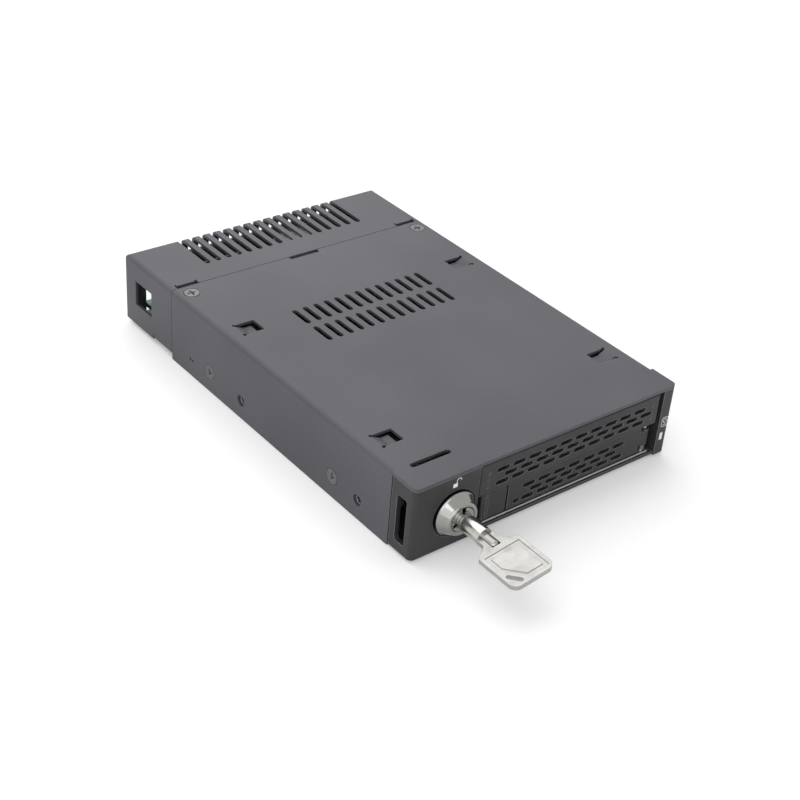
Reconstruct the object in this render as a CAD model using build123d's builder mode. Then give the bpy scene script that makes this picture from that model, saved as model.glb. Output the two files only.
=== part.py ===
from build123d import *
import os
from math import cos, pi, radians, sin

# A hot swap drive cage: a folded steel case that fits a 3.5 inch device bay and takes one
# 2.5 inch drive, 15 mm high, in a tray that pulls out at the front. A tubular key lock stops
# the tray, a button frees the swinging latch lever, and the connectors are at the rear.
# X runs across, to the right as seen from the front. Y runs from the front to the rear.
# Z is up. The origin is the centre of the underside, which lies on Z = 0.
os.makedirs("parts", exist_ok=True)

# Case
length = 155.0
width = 101.6
height = 25.4
sheet = 1.0
bend = 1.6
front = -length / 2
rear = length / 2
half = width / 2
lid_underside = height - sheet
wall_face = half - sheet
flange_face = half - 2 * sheet

# Clearances
running_gap = 0.3
shaft_gap = 0.05
seat_gap = 0.02
seam_gap = 0.25

# Sides that small round holes and posts are drawn with
least_sides = 8
small_sides = 12
larger_sides = 16
small_radius = 1.4
bend_steps = 4

# Drive, and the width of its tray
drive_width = 0.6875 * width
drive_length = length - 54.8
drive_height = height - 10.4
drive_gap = 0.075
tray_sheet = 0.7
tray_width = drive_width + 2 * (drive_gap + tray_sheet)

# Cover
cover_length = length - 29.0
side_setback = 10.5
cover_rear = front + cover_length
vent_count = 13
vent_pitch = 4.08
vent_length = 9.3
vent_width = 1.9
vent_rows = (cover_rear - 46.0, cover_rear - 34.4)
wide_slot_length = 14.4
wide_slot_width = 2.0
wide_slot_x = -half + 12.8
wide_slot_y = front + 9.8
tab_window_long = 7.2
tab_window_wide = 6.3
tab_edge_x = half - 5.1
tab_rows = (front + 24.3, cover_rear - 31.5)
tab_reach = 5.4
tab_drop = 2.2
tab_side_gap = 0.8
tab_relief = 0.6
edge_notch_width = 11.5
edge_notch_depth = 1.6
nose_corner = 1.6
pierce_y = cover_rear - 12.0
pierce_z = 5.9
pierce_radius = 0.55
pierce_pitch = 1.5

# Screws with a flush head
head_radius = 2.7
thread_radius = 1.25
screw_reach = 3.3
head_gap = 0.12
cover_screw_x = half - 4.9
cover_screw_y = cover_rear - 4.2
side_screw_z = 7.0

# Threaded holes in the sides, at the places of a 3.5 inch drive's own
mount_spacing = 60.3
mount_rows = (front + 25.0, front + 25.0 + mount_spacing)
side_screw_rows = (mount_rows[0] + 12.4, mount_rows[1] + 18.0)
mount_z = 6.35
mount_thread_radius = 1.4
mount_access_radius = 1.9
nut_shank_radius = 2.2
nut_flange_radius = 3.0
nut_flange_depth = 1.6

# Rear hood
hood_front = cover_rear + seam_gap
hood_low = 1.4
hood_step = 0.8
hood_step_length = 11.0
hood_slot_count = 16
hood_slot_pitch = 4.09
hood_slot_width = 2.1
hood_slot_start = rear - 19.4
rear_opening_half = half - 6.8
rear_opening_top = 19.2
hood_slot_floor = rear_opening_top + 1.2
side_window_length = 10.2
side_window_height = 8.9
side_window_y = rear - 11.1
side_window_z = 13.5
hood_tab_width = 7.4
hood_tab_x = half - 6.4
hood_tab_front = cover_rear - 8.0
hood_tab_root = 1.5
hood_relief = 0.7
hook_width = 0.6
hook_gap = 0.15
inner_bend_cut = 0.35

# Pan
pan_front_gap = 0.3
pan_wall_top = lid_underside - 2.9
tongue_low = 2.0
tongue_rear = rear - 2.0
joggle_length = 2.0
tongue_side_gap = 0.2

# Front bezel
bezel_depth = 10.0
bezel_low = 0.8
bezel_wall = 1.6
bezel_face = 2.4
bezel_corner = 1.6
status_column_width = 4.9
status_gap = 1.8
tray_space = running_gap + tray_width + status_gap
lock_block_width = width - status_column_width - tray_space
column_wall = 1.0
sill_height = 1.0
sill_setback = 0.8
bezel_window_width = 4.3
bezel_window_height = 15.6
bezel_window_y = front + 5.5
bezel_window_z = 11.8
bezel_window_corner = 0.6
snap_length = 6.0
snap_thickness = 1.0
snap_height = 7.0
snap_z = pan_wall_top - 4.0
bay_left = -half + lock_block_width
bay_right = half - status_column_width
bezel_rear = front + bezel_depth

# Lock
lock_from_bay = 8.4
lock_x = bay_left - lock_from_bay
lock_z = 12.0
collar_recess_radius = 7.8
collar_recess_depth = 0.8
collar_radius = 7.2
collar_nose_radius = 5.3
collar_rim = 0.7
collar_reach = 4.0
barrel_radius = 5.0
barrel_rear = front + 9.6
plug_radius = 3.9
plug_face = front - collar_reach + 0.1
plug_rear = front + 10.4
keyway_outer = 2.78
keyway_inner = 1.92
keyway_end = front + 3.0
keyway_notch_width = 1.4
keyway_notch_radius = 3.45
tail_radius = 2.6
tail_flat = 1.9
nut_across = 13.0
nut_thickness = 2.5
cam_thickness = 1.5
cam_top_gap = 1.9
cam_reach = lid_underside - cam_top_gap - lock_z
cam_width = 5.0
cam_hub_radius = 4.2
cam_screw_radius = 1.0
cam_screw_head = 2.8
cam_screw_head_height = 1.2
cam_screw_reach = 4.0

# Key
key_tilt = 8.0
key_tube_outer = 2.7
key_tube_inner = 2.0
key_tube_front = front - 13.0
key_lug_radius = 3.3
key_lug_width = 1.1
key_lug_length = 2.0
key_thickness = 1.5
bow_half = 7.3
bow_start = front - 19.0
bow_end = front - 34.0
neck_half = 2.9
neck_end = front - 16.4
bow_corner = 2.6
shoulder_corner = 1.2
neck_corner = 2.4
bow_rim = 1.2
bow_relief = 0.2
shield_inset = 1.3
ring_slot_length = 4.8
ring_slot_width = 1.5
ring_slot_x = -4.6
ring_slot_y = front - 30.9
ring_slot_angle = -54.0
rivet_radius = 1.45
rivet_front = front - 18.2
rivet_rear = front - 9.0
rivet_dome = 0.9

# Tray
drive_start = front + 13.0
drive_end = drive_start + drive_length
drive_hole_across = drive_width - 8.13
drive_hole_from_end = 14.0
drive_hole_spacing = drive_length - 23.6
drive_hole_radius = 1.7
guide_sheet = 0.8
guide_gap = 0.4
tray_left = bay_left + running_gap
tray_right = tray_left + tray_width
tray_x = (tray_left + tray_right) / 2
tray_floor_z = sheet + guide_sheet + running_gap
tray_floor_top = tray_floor_z + tray_sheet
tray_wall_top = tray_floor_top + drive_height - 0.8
tray_rear = drive_end - 0.2
tray_slot_length = drive_length / 2 - 16.1
tray_slot_width = 8.0
tray_slot_pitch = 11.5
tray_slot_count = 4
tray_slot_row_pitch = drive_length / 2 - 8.1
side_hole_z = tray_floor_top + 3.0
side_hole_radius = 1.7

# Tray front
tray_front_depth = 10.0
tray_front_wall = 1.6
tray_front_floor = 1.2
panel_thickness = 2.0
panel_low = 13.5
panel_edge = 0.5
shelf_thickness = 1.2
panel_top = lid_underside - running_gap
pocket_depth = 4.4
back_wall = 1.2
grille_pitch = 0.085 * tray_width
grille_length = 4.9
grille_height = 1.5
grille_corner = 0.5
grille_row_pitch = 2.25
grille_count = 10
grille_x = tray_x + 0.1
grille_z = (panel_low + panel_top) / 2 - 0.4
dimple_depth = 0.3
dimple_radius = 0.5
dimple_left = -32.6
dimple_right = 32.9
left_dimple_rows = (1, 0, -1)
right_dimple_rows = (1, -1)
screen_thickness = 0.6
screen_margin = 1.2
screen_hole = 3.0
screen_hole_height = 2.2
screen_pitch = 4.1
screen_row_pitch = 3.2
screen_rows = 2
window_left = tray_left + 16.3
window_right = tray_right - 6.1
screen_count = int((window_right - window_left) / screen_pitch)
window_low = 4.8
window_high = 12.0
tray_screw_radius = 1.25
tray_screw_head = 2.2
tray_screw_reach = 5.0
tray_screw_inset = 13.7
tray_screw_half_spacing = tray_width / 2 - tray_screw_inset
boss_half = 2.2
boss_top = 8.5

# Latch lever and its pin
lever_recess = 1.2
lever_thickness = 2.2
lever_low = tray_floor_top + running_gap
lever_high = panel_low - running_gap
lever_left = tray_left + 12.8
lever_notch_x = tray_right - 4.7
pin_x = tray_right - 1.7
pin_y = front + 2.7
pin_radius = 0.75
pin_top = 14.4
barrel_wall = 0.75
hinge_low = 5.4
hinge_high = 11.0
lever_grille_x = tray_x + 3.4
lever_grille_z = 7.5
lever_grille_row_pitch = 2.2
long_row_count = 7
short_row_count = 6
lever_short_slot = 2.5
lever_short_slot_x = lever_grille_x - 3.75 * grille_pitch
lever_edge = 0.4
spring_wire = 0.15
spring_steps = 8
lever_spring_radius = 1.1
lever_spring_turns = 3
lever_spring_height = 1.5
lever_spring_z = 3.4

# Release button, which slides to the left
button_left = tray_left + 2.7
button_right = lever_left - 0.4
button_travel = 2.0
thumb_rib_width = 1.1
thumb_rib_height = 0.35
thumb_rib_x = button_left + 1.8
thumb_rib_margin = 0.9
neck_left = button_left + 3.3
neck_right = button_left + 5.9
neck_low = 6.3
neck_high = 8.7
neck_gap = 0.1
shoe_left = neck_left - 0.7
shoe_right = neck_right + 0.5
shoe_rear = front + 9.2
shoe_margin = 1.1
button_spring_radius = 1.2
button_spring_turns = 4
button_spring_y = front + 7.5

# Guides
guide_start = front + 13.0
guide_end = drive_end + 6.8
guide_top = lid_underside - tab_drop - 0.1
guide_runner = 3.2
left_base_reach = 9.5
left_top_edge = -half + 4.8
right_edge_gap = 0.2
right_base_gap = 0.7
guide_hole_length = 18.0
guide_hole_height = 8.0
guide_hole_middle = (guide_start + guide_end) / 2 - 3.0
guide_hole_rows = (guide_hole_middle - 10.5, guide_hole_middle + 10.5)
guide_hole_z = 11.5
guide_screw_rows = (guide_start + 18.0, guide_end - 12.0)
left_guide_screw_x = bay_left - 5.4
right_guide_screw_x = half - 3.9
guide_screw_reach = sheet + guide_sheet
ear_height_low = 4.0
ear_height_high = 17.5
left_ear_x = -half + 10.8
ear_screw_z = 13.5
ground_rows = (guide_start + 11.0, guide_end - 24.0)
ground_length = 16.0
ground_height = 5.0
ground_thickness = 0.25
ground_gap = 0.12
ground_window = 12.0
ground_z = 12.0

# Boards and connectors
board_thickness = 1.6
backplane_left = -half + 6.3
backplane_right = half - 2.4
backplane_top = height - 4.2
socket_length = 45.0
socket_height = 8.2
socket_z = tray_floor_top + 4.9
socket_front = drive_end + 0.8
socket_mouth_length = 41.0
socket_mouth_height = 5.3
socket_mouth_depth = 5.2
board_vent_count = 8
board_vent_pitch = 5.2
board_vent_length = 4.2
board_vent_width = 2.4
board_vent_z = backplane_top - 3.8
pan_head_radius = 2.4
pan_head_height = 1.3
board_gap = 0.2
io_board_low = 6.0
io_board_half = half - 4.8
io_board_rear = rear - 3.2
standoff_radius = 2.2
standoff_x = half - 9.3
standoff_rows = (hood_front + 3.2, rear - 8.5)
header_half = 11.0
header_depth = 5.2
header_height = 4.2
data_port_x = 14.0
data_port_width = 13.4
data_port_height = 11.2
data_port_length = 18.5
data_mouth_width = 11.0
data_mouth_height = 8.8
data_mouth_depth = 9.0
power_port_x = -19.0
power_port_width = 23.0
power_port_height = 7.4
power_port_length = 9.5
power_mouth_width = 21.0
power_mouth_height = 5.2
power_mouth_depth = 7.5
power_blade_thickness = 0.9
capacitor_radius = 2.0
capacitor_height = 4.5
capacitor_x = (-36.0, -31.0, 30.0)
capacitor_y = rear - 17.0
chip_x = 0.0
chip_y = hood_front + 7.25
chip_size = 9.0
chip_height = 1.1

# Light pipe and its lamp
pipe_x = half - 2.9
pipe_width = 1.2
pipe_height = 2.6
pipe_front_z = 7.3
pipe_run_z = 11.5
pipe_jog_start = front + 9.0
pipe_jog_end = front + 15.0
pipe_gap = 0.06
lamp_width = 1.0
lamp_height = 2.0
lamp_depth = 0.7

TOP = (Align.CENTER, Align.CENTER, Align.MAX)


def face_at(y):
    """The upright plane at depth y, seen from the front, with X across and Z up."""
    return Plane.XZ.offset(-y)


def rearward(x, y, z):
    """A plane at a point, whose normal points to the rear."""
    return Plane(origin=(x, y, z), x_dir=(1, 0, 0), z_dir=(0, 1, 0))


def forward(x, y, z):
    """A plane at a point, whose normal points to the front."""
    return Plane(origin=(x, y, z), x_dir=(1, 0, 0), z_dir=(0, -1, 0))


def sideways(x, y, z, side):
    """A plane at a point, whose normal points out of the left (-1) or right (1) side."""
    return Plane(origin=(x, y, z), x_dir=(0, 1, 0), z_dir=(side, 0, 0))


def downward(x, y, z):
    """A plane at a point, whose normal points down."""
    return Plane(origin=(x, y, z), x_dir=(1, 0, 0), z_dir=(0, 0, -1))


def upward(x, y, z):
    """A plane at a point, whose normal points up."""
    return Plane(origin=(x, y, z))


def block(x, y, z, mode=Mode.ADD):
    """A rectangular block between two limits along each axis, in the part being made."""
    with Locations(((x[0] + x[1]) / 2, (y[0] + y[1]) / 2, (z[0] + z[1]) / 2)):
        Box(x[1] - x[0], y[1] - y[0], z[1] - z[0], mode=mode)


def turned(profile, x, z, mode=Mode.ADD):
    """A solid turned about a front to rear axis, from (radius, y) points."""
    with BuildSketch(Plane.XY.offset(z)) as section:
        with BuildLine():
            Polyline(*[(x + radius, y) for radius, y in profile], close=True)
        make_face()
    revolve(section.sketch, axis=Axis((x, 0, z), (0, 1, 0)), mode=mode)


def folded_channel(x, span, z, y, gauge, corner, web_on_top):
    """A sheet folded into a channel with rounded bends, in the part being made."""
    row = -1 if web_on_top else 0
    inner_low = z[0] if web_on_top else z[0] + gauge
    inner_high = z[1] - gauge if web_on_top else z[1]
    with BuildSketch(face_at(y[0])) as section:
        with Locations((x, (z[0] + z[1]) / 2)):
            Rectangle(span, z[1] - z[0])
        fillet(section.vertices().group_by(Axis.Y)[row], corner)
        with BuildSketch(mode=Mode.SUBTRACT) as hollow:
            with Locations((x, (inner_low + inner_high) / 2)):
                Rectangle(span - 2 * gauge, inner_high - inner_low)
            fillet(hollow.vertices().group_by(Axis.Y)[row], corner - gauge)
    extrude(section.sketch, amount=y[0] - y[1])


def bent_corner(x, y, side):
    """The points of a sheet's outer bend, in short flat steps, round a corner at the upper end."""
    turns = [pi / 2 * step / bend_steps for step in range(bend_steps + 1)]
    points = [(x - side * bend * (1 - sin(turn)), y - bend * (1 - cos(turn))) for turn in turns]
    return points if side > 0 else points[::-1]


def hood_form():
    """The hood's outer form, folded down at both sides and at the rear."""
    with BuildPart(mode=Mode.PRIVATE) as form:
        with BuildSketch(face_at(hood_front)):
            with BuildLine():
                top = bent_corner(-half, height, -1) + bent_corner(half, height, 1)
                Polyline((half, hood_low), (-half, hood_low), *top, close=True)
            make_face()
        extrude(amount=hood_front - rear)
        with BuildSketch(Plane.YZ.offset(-half)):
            with BuildLine():
                back = bent_corner(rear, height, 1)
                Polyline((rear, 0), (hood_front, 0), (hood_front, height), *back, close=True)
            make_face()
        extrude(amount=width, mode=Mode.INTERSECT)
    return form.part


def hood_hollow():
    """The space under the hood's sheet, with its corners cut where the sheet bends."""
    with BuildPart(mode=Mode.PRIVATE) as form:
        block((-wall_face, wall_face), (hood_front - sheet, rear - sheet), (0, lid_underside))
        long_edges = form.edges().filter_by(Axis.Y).group_by(Axis.Z)[-1]
        rear_edge = form.edges().filter_by(Axis.X).group_by(Axis.Z)[-1].sort_by(Axis.Y)[-1]
        chamfer(long_edges + [rear_edge], inner_bend_cut)
    return form.part


def sides_for(radius):
    """How many sides a small round hole or post is drawn with."""
    return least_sides if radius < small_radius else small_sides


def posts(spots, radius, depth, mode=Mode.ADD):
    """Many sided posts down from the planes given, or up from them where the depth is negative."""
    with BuildSketch(*spots) as section:
        RegularPolygon(radius, sides_for(radius))
    extrude(section.sketch, amount=-depth, mode=mode)


def flared(spots, wide, narrow, depth, mode=Mode.ADD):
    """Cones drawn with flat sides, wide at the planes given and narrow below them."""
    turns = [2 * pi * step / small_sides for step in range(small_sides)]
    for spot in spots:
        upper = [spot.from_local_coords((wide * cos(a), wide * sin(a), 0)) for a in turns]
        lower = [spot.from_local_coords((narrow * cos(a), narrow * sin(a), -depth)) for a in turns]
        outlines = [upper, lower]
        for step in range(small_sides):
            outlines.append([upper[step - 1], upper[step], lower[step], lower[step - 1]])
        add(Solid(Shell([Face(Wire.make_polygon(points)) for points in outlines])), mode=mode)


def flush_screws(spots, reach):
    """Screws whose cone shaped heads lie flush with the planes given."""
    flared(spots, head_radius, thread_radius, sheet)
    posts(spots, thread_radius, reach)


def flush_holes(spots):
    """Countersunk holes through one sheet, for screws with a flush head."""
    flared(spots, head_radius + head_gap, thread_radius + head_gap, sheet, mode=Mode.SUBTRACT)


def thread_holes(spots, radius, depth):
    """Small round holes down from the planes given."""
    posts(spots, radius, depth, mode=Mode.SUBTRACT)


def bores(spots, radius, depth):
    """Large round holes down from the planes given."""
    with Locations(*spots):
        Cylinder(radius, depth, align=TOP, mode=Mode.SUBTRACT)


def pan_head_screws(spots, head, radius, reach):
    """Screws with a round head that stands on the planes given."""
    posts(spots, head, -pan_head_height)
    posts(spots, radius, reach)


def slot(length, width, turn=0):
    """A punched slot with rounded ends, drawn with three sides to each end."""
    end_x = (length - width) / 2
    turns = [radians(angle) for angle in (-90, -30, 30, 90)]
    right = [(end_x + width / 2 * cos(angle), width / 2 * sin(angle)) for angle in turns]
    Polygon(*right, *[(-x, -y) for x, y in right], rotation=turn)


def eased(length, height, corner):
    """A rectangle with cut corners."""
    x = length / 2
    y = height / 2
    right = [(x - corner, -y), (x, corner - y), (x, y - corner), (x - corner, y)]
    Polygon(*right, *[(-a, -b) for a, b in right])


def coil_spring(start, forwards, across, third, radius, turns, rise):
    """A wire spring of straight lengths, wound round the line through a point."""
    count = turns * spring_steps
    path = []
    for step in range(count + 1):
        angle = 2 * pi * step / spring_steps
        along = rise * step / count
        path.append(
            start + forwards * along + across * radius * cos(angle) + third * radius * sin(angle)
        )
    with BuildLine(mode=Mode.PRIVATE) as coil:
        Polyline(*path)
    with BuildSketch(Plane(origin=path[0], z_dir=path[1] - path[0])) as section:
        RegularPolygon(spring_wire, 4)
    sweep(section.sketch, path=coil.line, transition=Transition.RIGHT)


def finish(part, name):
    """Label a finished sub-part and write it out."""
    part.label = name
    export_step(part, f"parts/{name}.step")


def mirrored(x):
    """The left and right places of something that stands on both sides."""
    return (-x, x)


cover_screw_spots = [upward(x, cover_screw_y, height) for x in mirrored(cover_screw_x)]
side_screw_spots = [
    sideways(side * half, y, side_screw_z, side) for side in (-1, 1) for y in side_screw_rows
]
mount_spots = [sideways(side * half, y, mount_z, side) for side in (-1, 1) for y in mount_rows]
guide_screw_spots = [
    downward(x, y, 0) for x in (left_guide_screw_x, right_guide_screw_x) for y in guide_screw_rows
]
standoff_spots = [(x, y) for x in mirrored(standoff_x) for y in standoff_rows]

# Top cover: the lid, its two side walls and the nose that reaches over the bezel
with BuildPart() as top_cover:
    folded_channel(0, width, (0, height), (front + side_setback, cover_rear), sheet, bend, True)
    block((-half, half), (front, front + side_setback), (lid_underside, height))
    nose = top_cover.edges().filter_by(Axis.Z).group_by(Axis.Y)[0]
    fillet(nose, nose_corner)
    with BuildSketch(Plane.XY.offset(height)):
        for row in vent_rows:
            with Locations((0, row)):
                with GridLocations(vent_pitch, 0, vent_count, 1):
                    slot(vent_length, vent_width, 90)
        with Locations((wide_slot_x, wide_slot_y)):
            slot(wide_slot_length, wide_slot_width)
        with Locations((0, cover_rear)):
            Rectangle(edge_notch_width, 2 * edge_notch_depth)
        for side in (-1, 1):
            for row in tab_rows:
                with Locations((side * (tab_edge_x - tab_window_long / 2), row)):
                    Rectangle(tab_window_long, tab_window_wide)
                for end in (-1, 1):
                    with Locations((side * tab_edge_x, row + end * tab_window_wide / 2)):
                        RegularPolygon(tab_relief, 6)
    extrude(amount=-sheet, mode=Mode.SUBTRACT)
    # Lanced tabs, folded down from the outer edge of each window
    for row in tab_rows:
        with BuildSketch(face_at(row + tab_window_wide / 2 - tab_side_gap)):
            for side in (-1, 1):
                tab_end = side * (tab_edge_x - tab_reach)
                with BuildLine():
                    Polyline(
                        (side * tab_edge_x, lid_underside),
                        (side * tab_edge_x, height),
                        (tab_end, height - tab_drop),
                        (tab_end, lid_underside - tab_drop),
                        close=True,
                    )
                make_face()
        extrude(amount=tab_window_wide - 2 * tab_side_gap)
    flush_holes(cover_screw_spots)
    flush_holes(side_screw_spots)
    thread_holes(mount_spots, mount_access_radius, sheet)
    pierced = [sideways(-half, pierce_y + end * pierce_pitch / 2, pierce_z, -1) for end in (-1, 1)]
    thread_holes(pierced, pierce_radius, sheet)
finish(top_cover.part, "top_cover")

# Bottom pan: floor, inner side flanges, and a raised tongue that carries the rear board
with BuildPart() as bottom_pan:
    pan_front = bezel_rear + pan_front_gap
    pan_rear = cover_rear - 1.0
    folded_channel(0, 2 * wall_face, (0, pan_wall_top), (pan_front, pan_rear), sheet, bend, False)
    with BuildSketch(Plane.YZ.offset(-wall_face + tongue_side_gap)):
        with BuildLine():
            Polyline(
                (pan_rear - sheet, 0),
                (pan_rear, 0),
                (pan_rear + joggle_length, tongue_low),
                (tongue_rear, tongue_low),
                (tongue_rear, tongue_low + sheet),
                (pan_rear + joggle_length - sheet / 2, tongue_low + sheet),
                (pan_rear - sheet / 2, sheet),
                (pan_rear - sheet, sheet),
                close=True,
            )
        make_face()
    extrude(amount=2 * (wall_face - tongue_side_gap))
    # Hooks that hold the hood's walls
    hook_y = hood_front + hood_step_length
    hook_half = half - tongue_side_gap
    block((-hook_half, hook_half), (hook_y, hook_y + hook_width), (tongue_low, tongue_low + sheet))
    thread_holes(side_screw_spots, thread_radius + seat_gap, 2 * sheet)
    thread_holes(mount_spots, nut_shank_radius + seat_gap, 2 * sheet)
    flush_holes(guide_screw_spots)
    standoff_holes = [upward(x, y, tongue_low + sheet) for x, y in standoff_spots]
    thread_holes(standoff_holes, thread_radius + seat_gap, sheet)
finish(bottom_pan.part, "bottom_pan")

# Rear hood: slots run over the rear bend, and the rear is open for the connectors
with BuildPart() as rear_hood:
    add(hood_form())
    add(hood_hollow(), mode=Mode.SUBTRACT)
    opening = (-rear_opening_half, rear_opening_half)
    block(opening, (rear - bend, rear + sheet), (0, rear_opening_top), mode=Mode.SUBTRACT)
    with BuildSketch(Plane.XY.offset(height)):
        slot_reach = rear - hood_slot_start + hood_slot_width
        with Locations((0, hood_slot_start + slot_reach / 2)):
            with GridLocations(hood_slot_pitch, 0, hood_slot_count, 1):
                slot(slot_reach, hood_slot_width, 90)
    extrude(amount=-bend - sheet, mode=Mode.SUBTRACT)
    with BuildSketch(face_at(rear)):
        slot_rise = height - hood_slot_floor + hood_slot_width
        with Locations((0, hood_slot_floor + slot_rise / 2)):
            with GridLocations(hood_slot_pitch, 0, hood_slot_count, 1):
                slot(slot_rise, hood_slot_width, 90)
    extrude(amount=bend, mode=Mode.SUBTRACT)
    with BuildSketch(Plane.YZ.offset(-half)):
        with Locations((side_window_y, side_window_z)):
            Rectangle(side_window_length, side_window_height)
    extrude(amount=sheet, mode=Mode.SUBTRACT)
    # The walls stop a little higher near the seam, and a hook of the pan sits at the step
    step_end = hood_front + hood_step_length
    block((-half, half), (hood_front, step_end), (0, hood_low + hood_step), mode=Mode.SUBTRACT)
    hook_space = (step_end - hook_gap, step_end + hook_width + hook_gap)
    hook_top = tongue_low + sheet + hook_gap
    block((-half, half), hook_space, (0, hook_top), mode=Mode.SUBTRACT)
    # Tabs that reach under the cover, each beside a stepped edge with two relief slits
    for x in mirrored(hood_tab_x):
        across = (x - hood_tab_width / 2, x + hood_tab_width / 2)
        block(across, (hood_front, hood_front + hood_tab_root), (lid_underside, height),
              mode=Mode.SUBTRACT)
        for edge in across:
            slit = (edge - hood_relief / 2, edge + hood_relief / 2)
            block(slit, (hood_front, hood_front + hood_tab_root + hood_relief),
                  (lid_underside, height), mode=Mode.SUBTRACT)
        block(across, (hood_tab_front, hood_front + 2 * hood_tab_root),
              (lid_underside - sheet, lid_underside))
    middle = (-edge_notch_width / 2, edge_notch_width / 2)
    block(middle, (hood_tab_front, hood_front + hood_tab_root),
          (lid_underside - sheet, lid_underside))
    tab_holes = [upward(x, cover_screw_y, lid_underside) for x in mirrored(cover_screw_x)]
    thread_holes(tab_holes, thread_radius + seat_gap, sheet)
finish(rear_hood.part, "rear_hood")

# Front bezel: the lock block, the status column and the sill that joins them
with BuildPart() as front_bezel:
    tall = (bezel_low, lid_underside)
    deep = (front, bezel_rear)
    block((-half, bay_left), deep, tall)
    block((bay_right, half), deep, tall)
    fillet(front_bezel.edges().filter_by(Axis.Z).group_by(Axis.Y)[0].sort_by(Axis.X)[0], bezel_corner)
    fillet(front_bezel.edges().filter_by(Axis.Z).group_by(Axis.Y)[0].sort_by(Axis.X)[-1], bezel_corner)
    sill = (bezel_low, bezel_low + sill_height)
    block((bay_left - bezel_wall, bay_right + column_wall), (front + sill_setback, bezel_rear), sill)
    hollow = (front + bezel_face, bezel_rear)
    inside = (bezel_low + bezel_wall, lid_underside - bezel_wall)
    block((-half + bezel_wall, bay_left - bezel_wall), hollow, inside, mode=Mode.SUBTRACT)
    block((bay_right + column_wall, half - column_wall), hollow, inside, mode=Mode.SUBTRACT)
    # Recess and hole for the lock
    recess = [forward(lock_x, front, lock_z)]
    bores(recess, collar_recess_radius, collar_recess_depth)
    bores(recess, barrel_radius + shaft_gap, bezel_face)
    # Window in the side, and the light pipe's hole
    with BuildSketch(Plane.YZ.offset(-half)):
        with Locations((bezel_window_y, bezel_window_z)):
            eased(bezel_window_width, bezel_window_height, bezel_window_corner)
    extrude(amount=bezel_wall, mode=Mode.SUBTRACT)
    with BuildSketch(face_at(front)):
        with Locations((pipe_x, pipe_front_z)):
            Rectangle(pipe_width + 2 * pipe_gap, pipe_height + 2 * pipe_gap)
    extrude(amount=-bezel_face, mode=Mode.SUBTRACT)
    # Snap tongues that lie along the pan's flanges
    tongue_z = (snap_z - snap_height / 2, snap_z + snap_height / 2)
    tongue_y = (bezel_rear - bezel_wall, bezel_rear + snap_length)
    tongue_face = flange_face - tongue_side_gap
    block((-tongue_face, snap_thickness - tongue_face), tongue_y, tongue_z)
    block((tongue_face - snap_thickness, tongue_face), tongue_y, tongue_z)
    # The tongues grow out of the walls beside them
    root_y = (bezel_rear - bezel_wall, bezel_rear)
    block((-half + bezel_wall / 2, snap_thickness - tongue_face), root_y, tongue_z)
    block((tongue_face - snap_thickness, half - column_wall / 2), root_y, tongue_z)
finish(front_bezel.part, "front_bezel")

# Lock body: the turned collar outside and the threaded barrel behind it
with BuildPart() as lock_body:
    seat = front + collar_recess_depth
    turned(
        [
            (0, front - collar_reach),
            (collar_nose_radius, front - collar_reach),
            (collar_radius, front - collar_rim),
            (collar_radius, seat),
            (0, seat),
        ],
        lock_x,
        lock_z,
    )
    with BuildSketch(face_at(seat)):
        with Locations((lock_x, lock_z)):
            RegularPolygon(barrel_radius, 2 * small_sides)
    extrude(amount=seat - barrel_rear)
    with BuildSketch(face_at(front - collar_reach)):
        with Locations((lock_x, lock_z)):
            RegularPolygon(plug_radius + shaft_gap, 2 * small_sides, major_radius=False)
    extrude(amount=front - collar_reach - barrel_rear, mode=Mode.SUBTRACT)
finish(lock_body.part, "lock_body")

with BuildPart() as lock_nut:
    with BuildSketch(face_at(front + bezel_face)):
        with Locations((lock_x, lock_z)):
            RegularPolygon(nut_across / 2, 6, major_radius=False, rotation=30)
            RegularPolygon(barrel_radius + seat_gap, 2 * small_sides, major_radius=False, mode=Mode.SUBTRACT)
    extrude(amount=-nut_thickness)
finish(lock_nut.part, "lock_nut")

# Lock cylinder: the plug that the key turns, with a ring shaped keyway round a centre post
with BuildPart() as lock_cylinder:
    cam_rear = plug_rear + cam_thickness
    turned(
        [
            (0, plug_face),
            (plug_radius, plug_face),
            (plug_radius, plug_rear),
            (tail_radius, plug_rear),
            (tail_radius, cam_rear),
            (0, cam_rear),
        ],
        lock_x,
        lock_z,
    )
    turned(
        [
            (keyway_inner, plug_face),
            (keyway_outer, plug_face),
            (keyway_outer, keyway_end),
            (keyway_inner, keyway_end),
        ],
        lock_x,
        lock_z,
        mode=Mode.SUBTRACT,
    )
    # Notches in the keyway's rim: the upper one is as deep as the keyway, for the key's lug
    with BuildSketch(face_at(plug_face)) as notches:
        with Locations((lock_x, lock_z)):
            with PolarLocations((keyway_outer + keyway_notch_radius) / 2, 1, start_angle=90):
                Rectangle(keyway_notch_radius - keyway_outer + 1, keyway_notch_width)
            Circle(keyway_outer - 0.2, mode=Mode.SUBTRACT)
    extrude(amount=plug_face - keyway_end, mode=Mode.SUBTRACT)
    with BuildSketch(face_at(plug_face)):
        with Locations((lock_x, lock_z)):
            with PolarLocations((keyway_outer + keyway_notch_radius) / 2, 2, start_angle=200,
                                angular_range=140, endpoint=True):
                Rectangle(keyway_notch_radius - keyway_outer + 0.4, keyway_notch_width)
            Circle(keyway_outer - 0.2, mode=Mode.SUBTRACT)
    extrude(amount=-1.0, mode=Mode.SUBTRACT)
    for side in (-1, 1):
        flat = sorted((lock_x + side * tail_flat, lock_x + side * plug_radius))
        tail_z = (lock_z - plug_radius, lock_z + plug_radius)
        block(flat, (plug_rear, cam_rear), tail_z, mode=Mode.SUBTRACT)
    thread_holes([rearward(lock_x, cam_rear, lock_z)], cam_screw_radius + seat_gap, cam_screw_reach)
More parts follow.
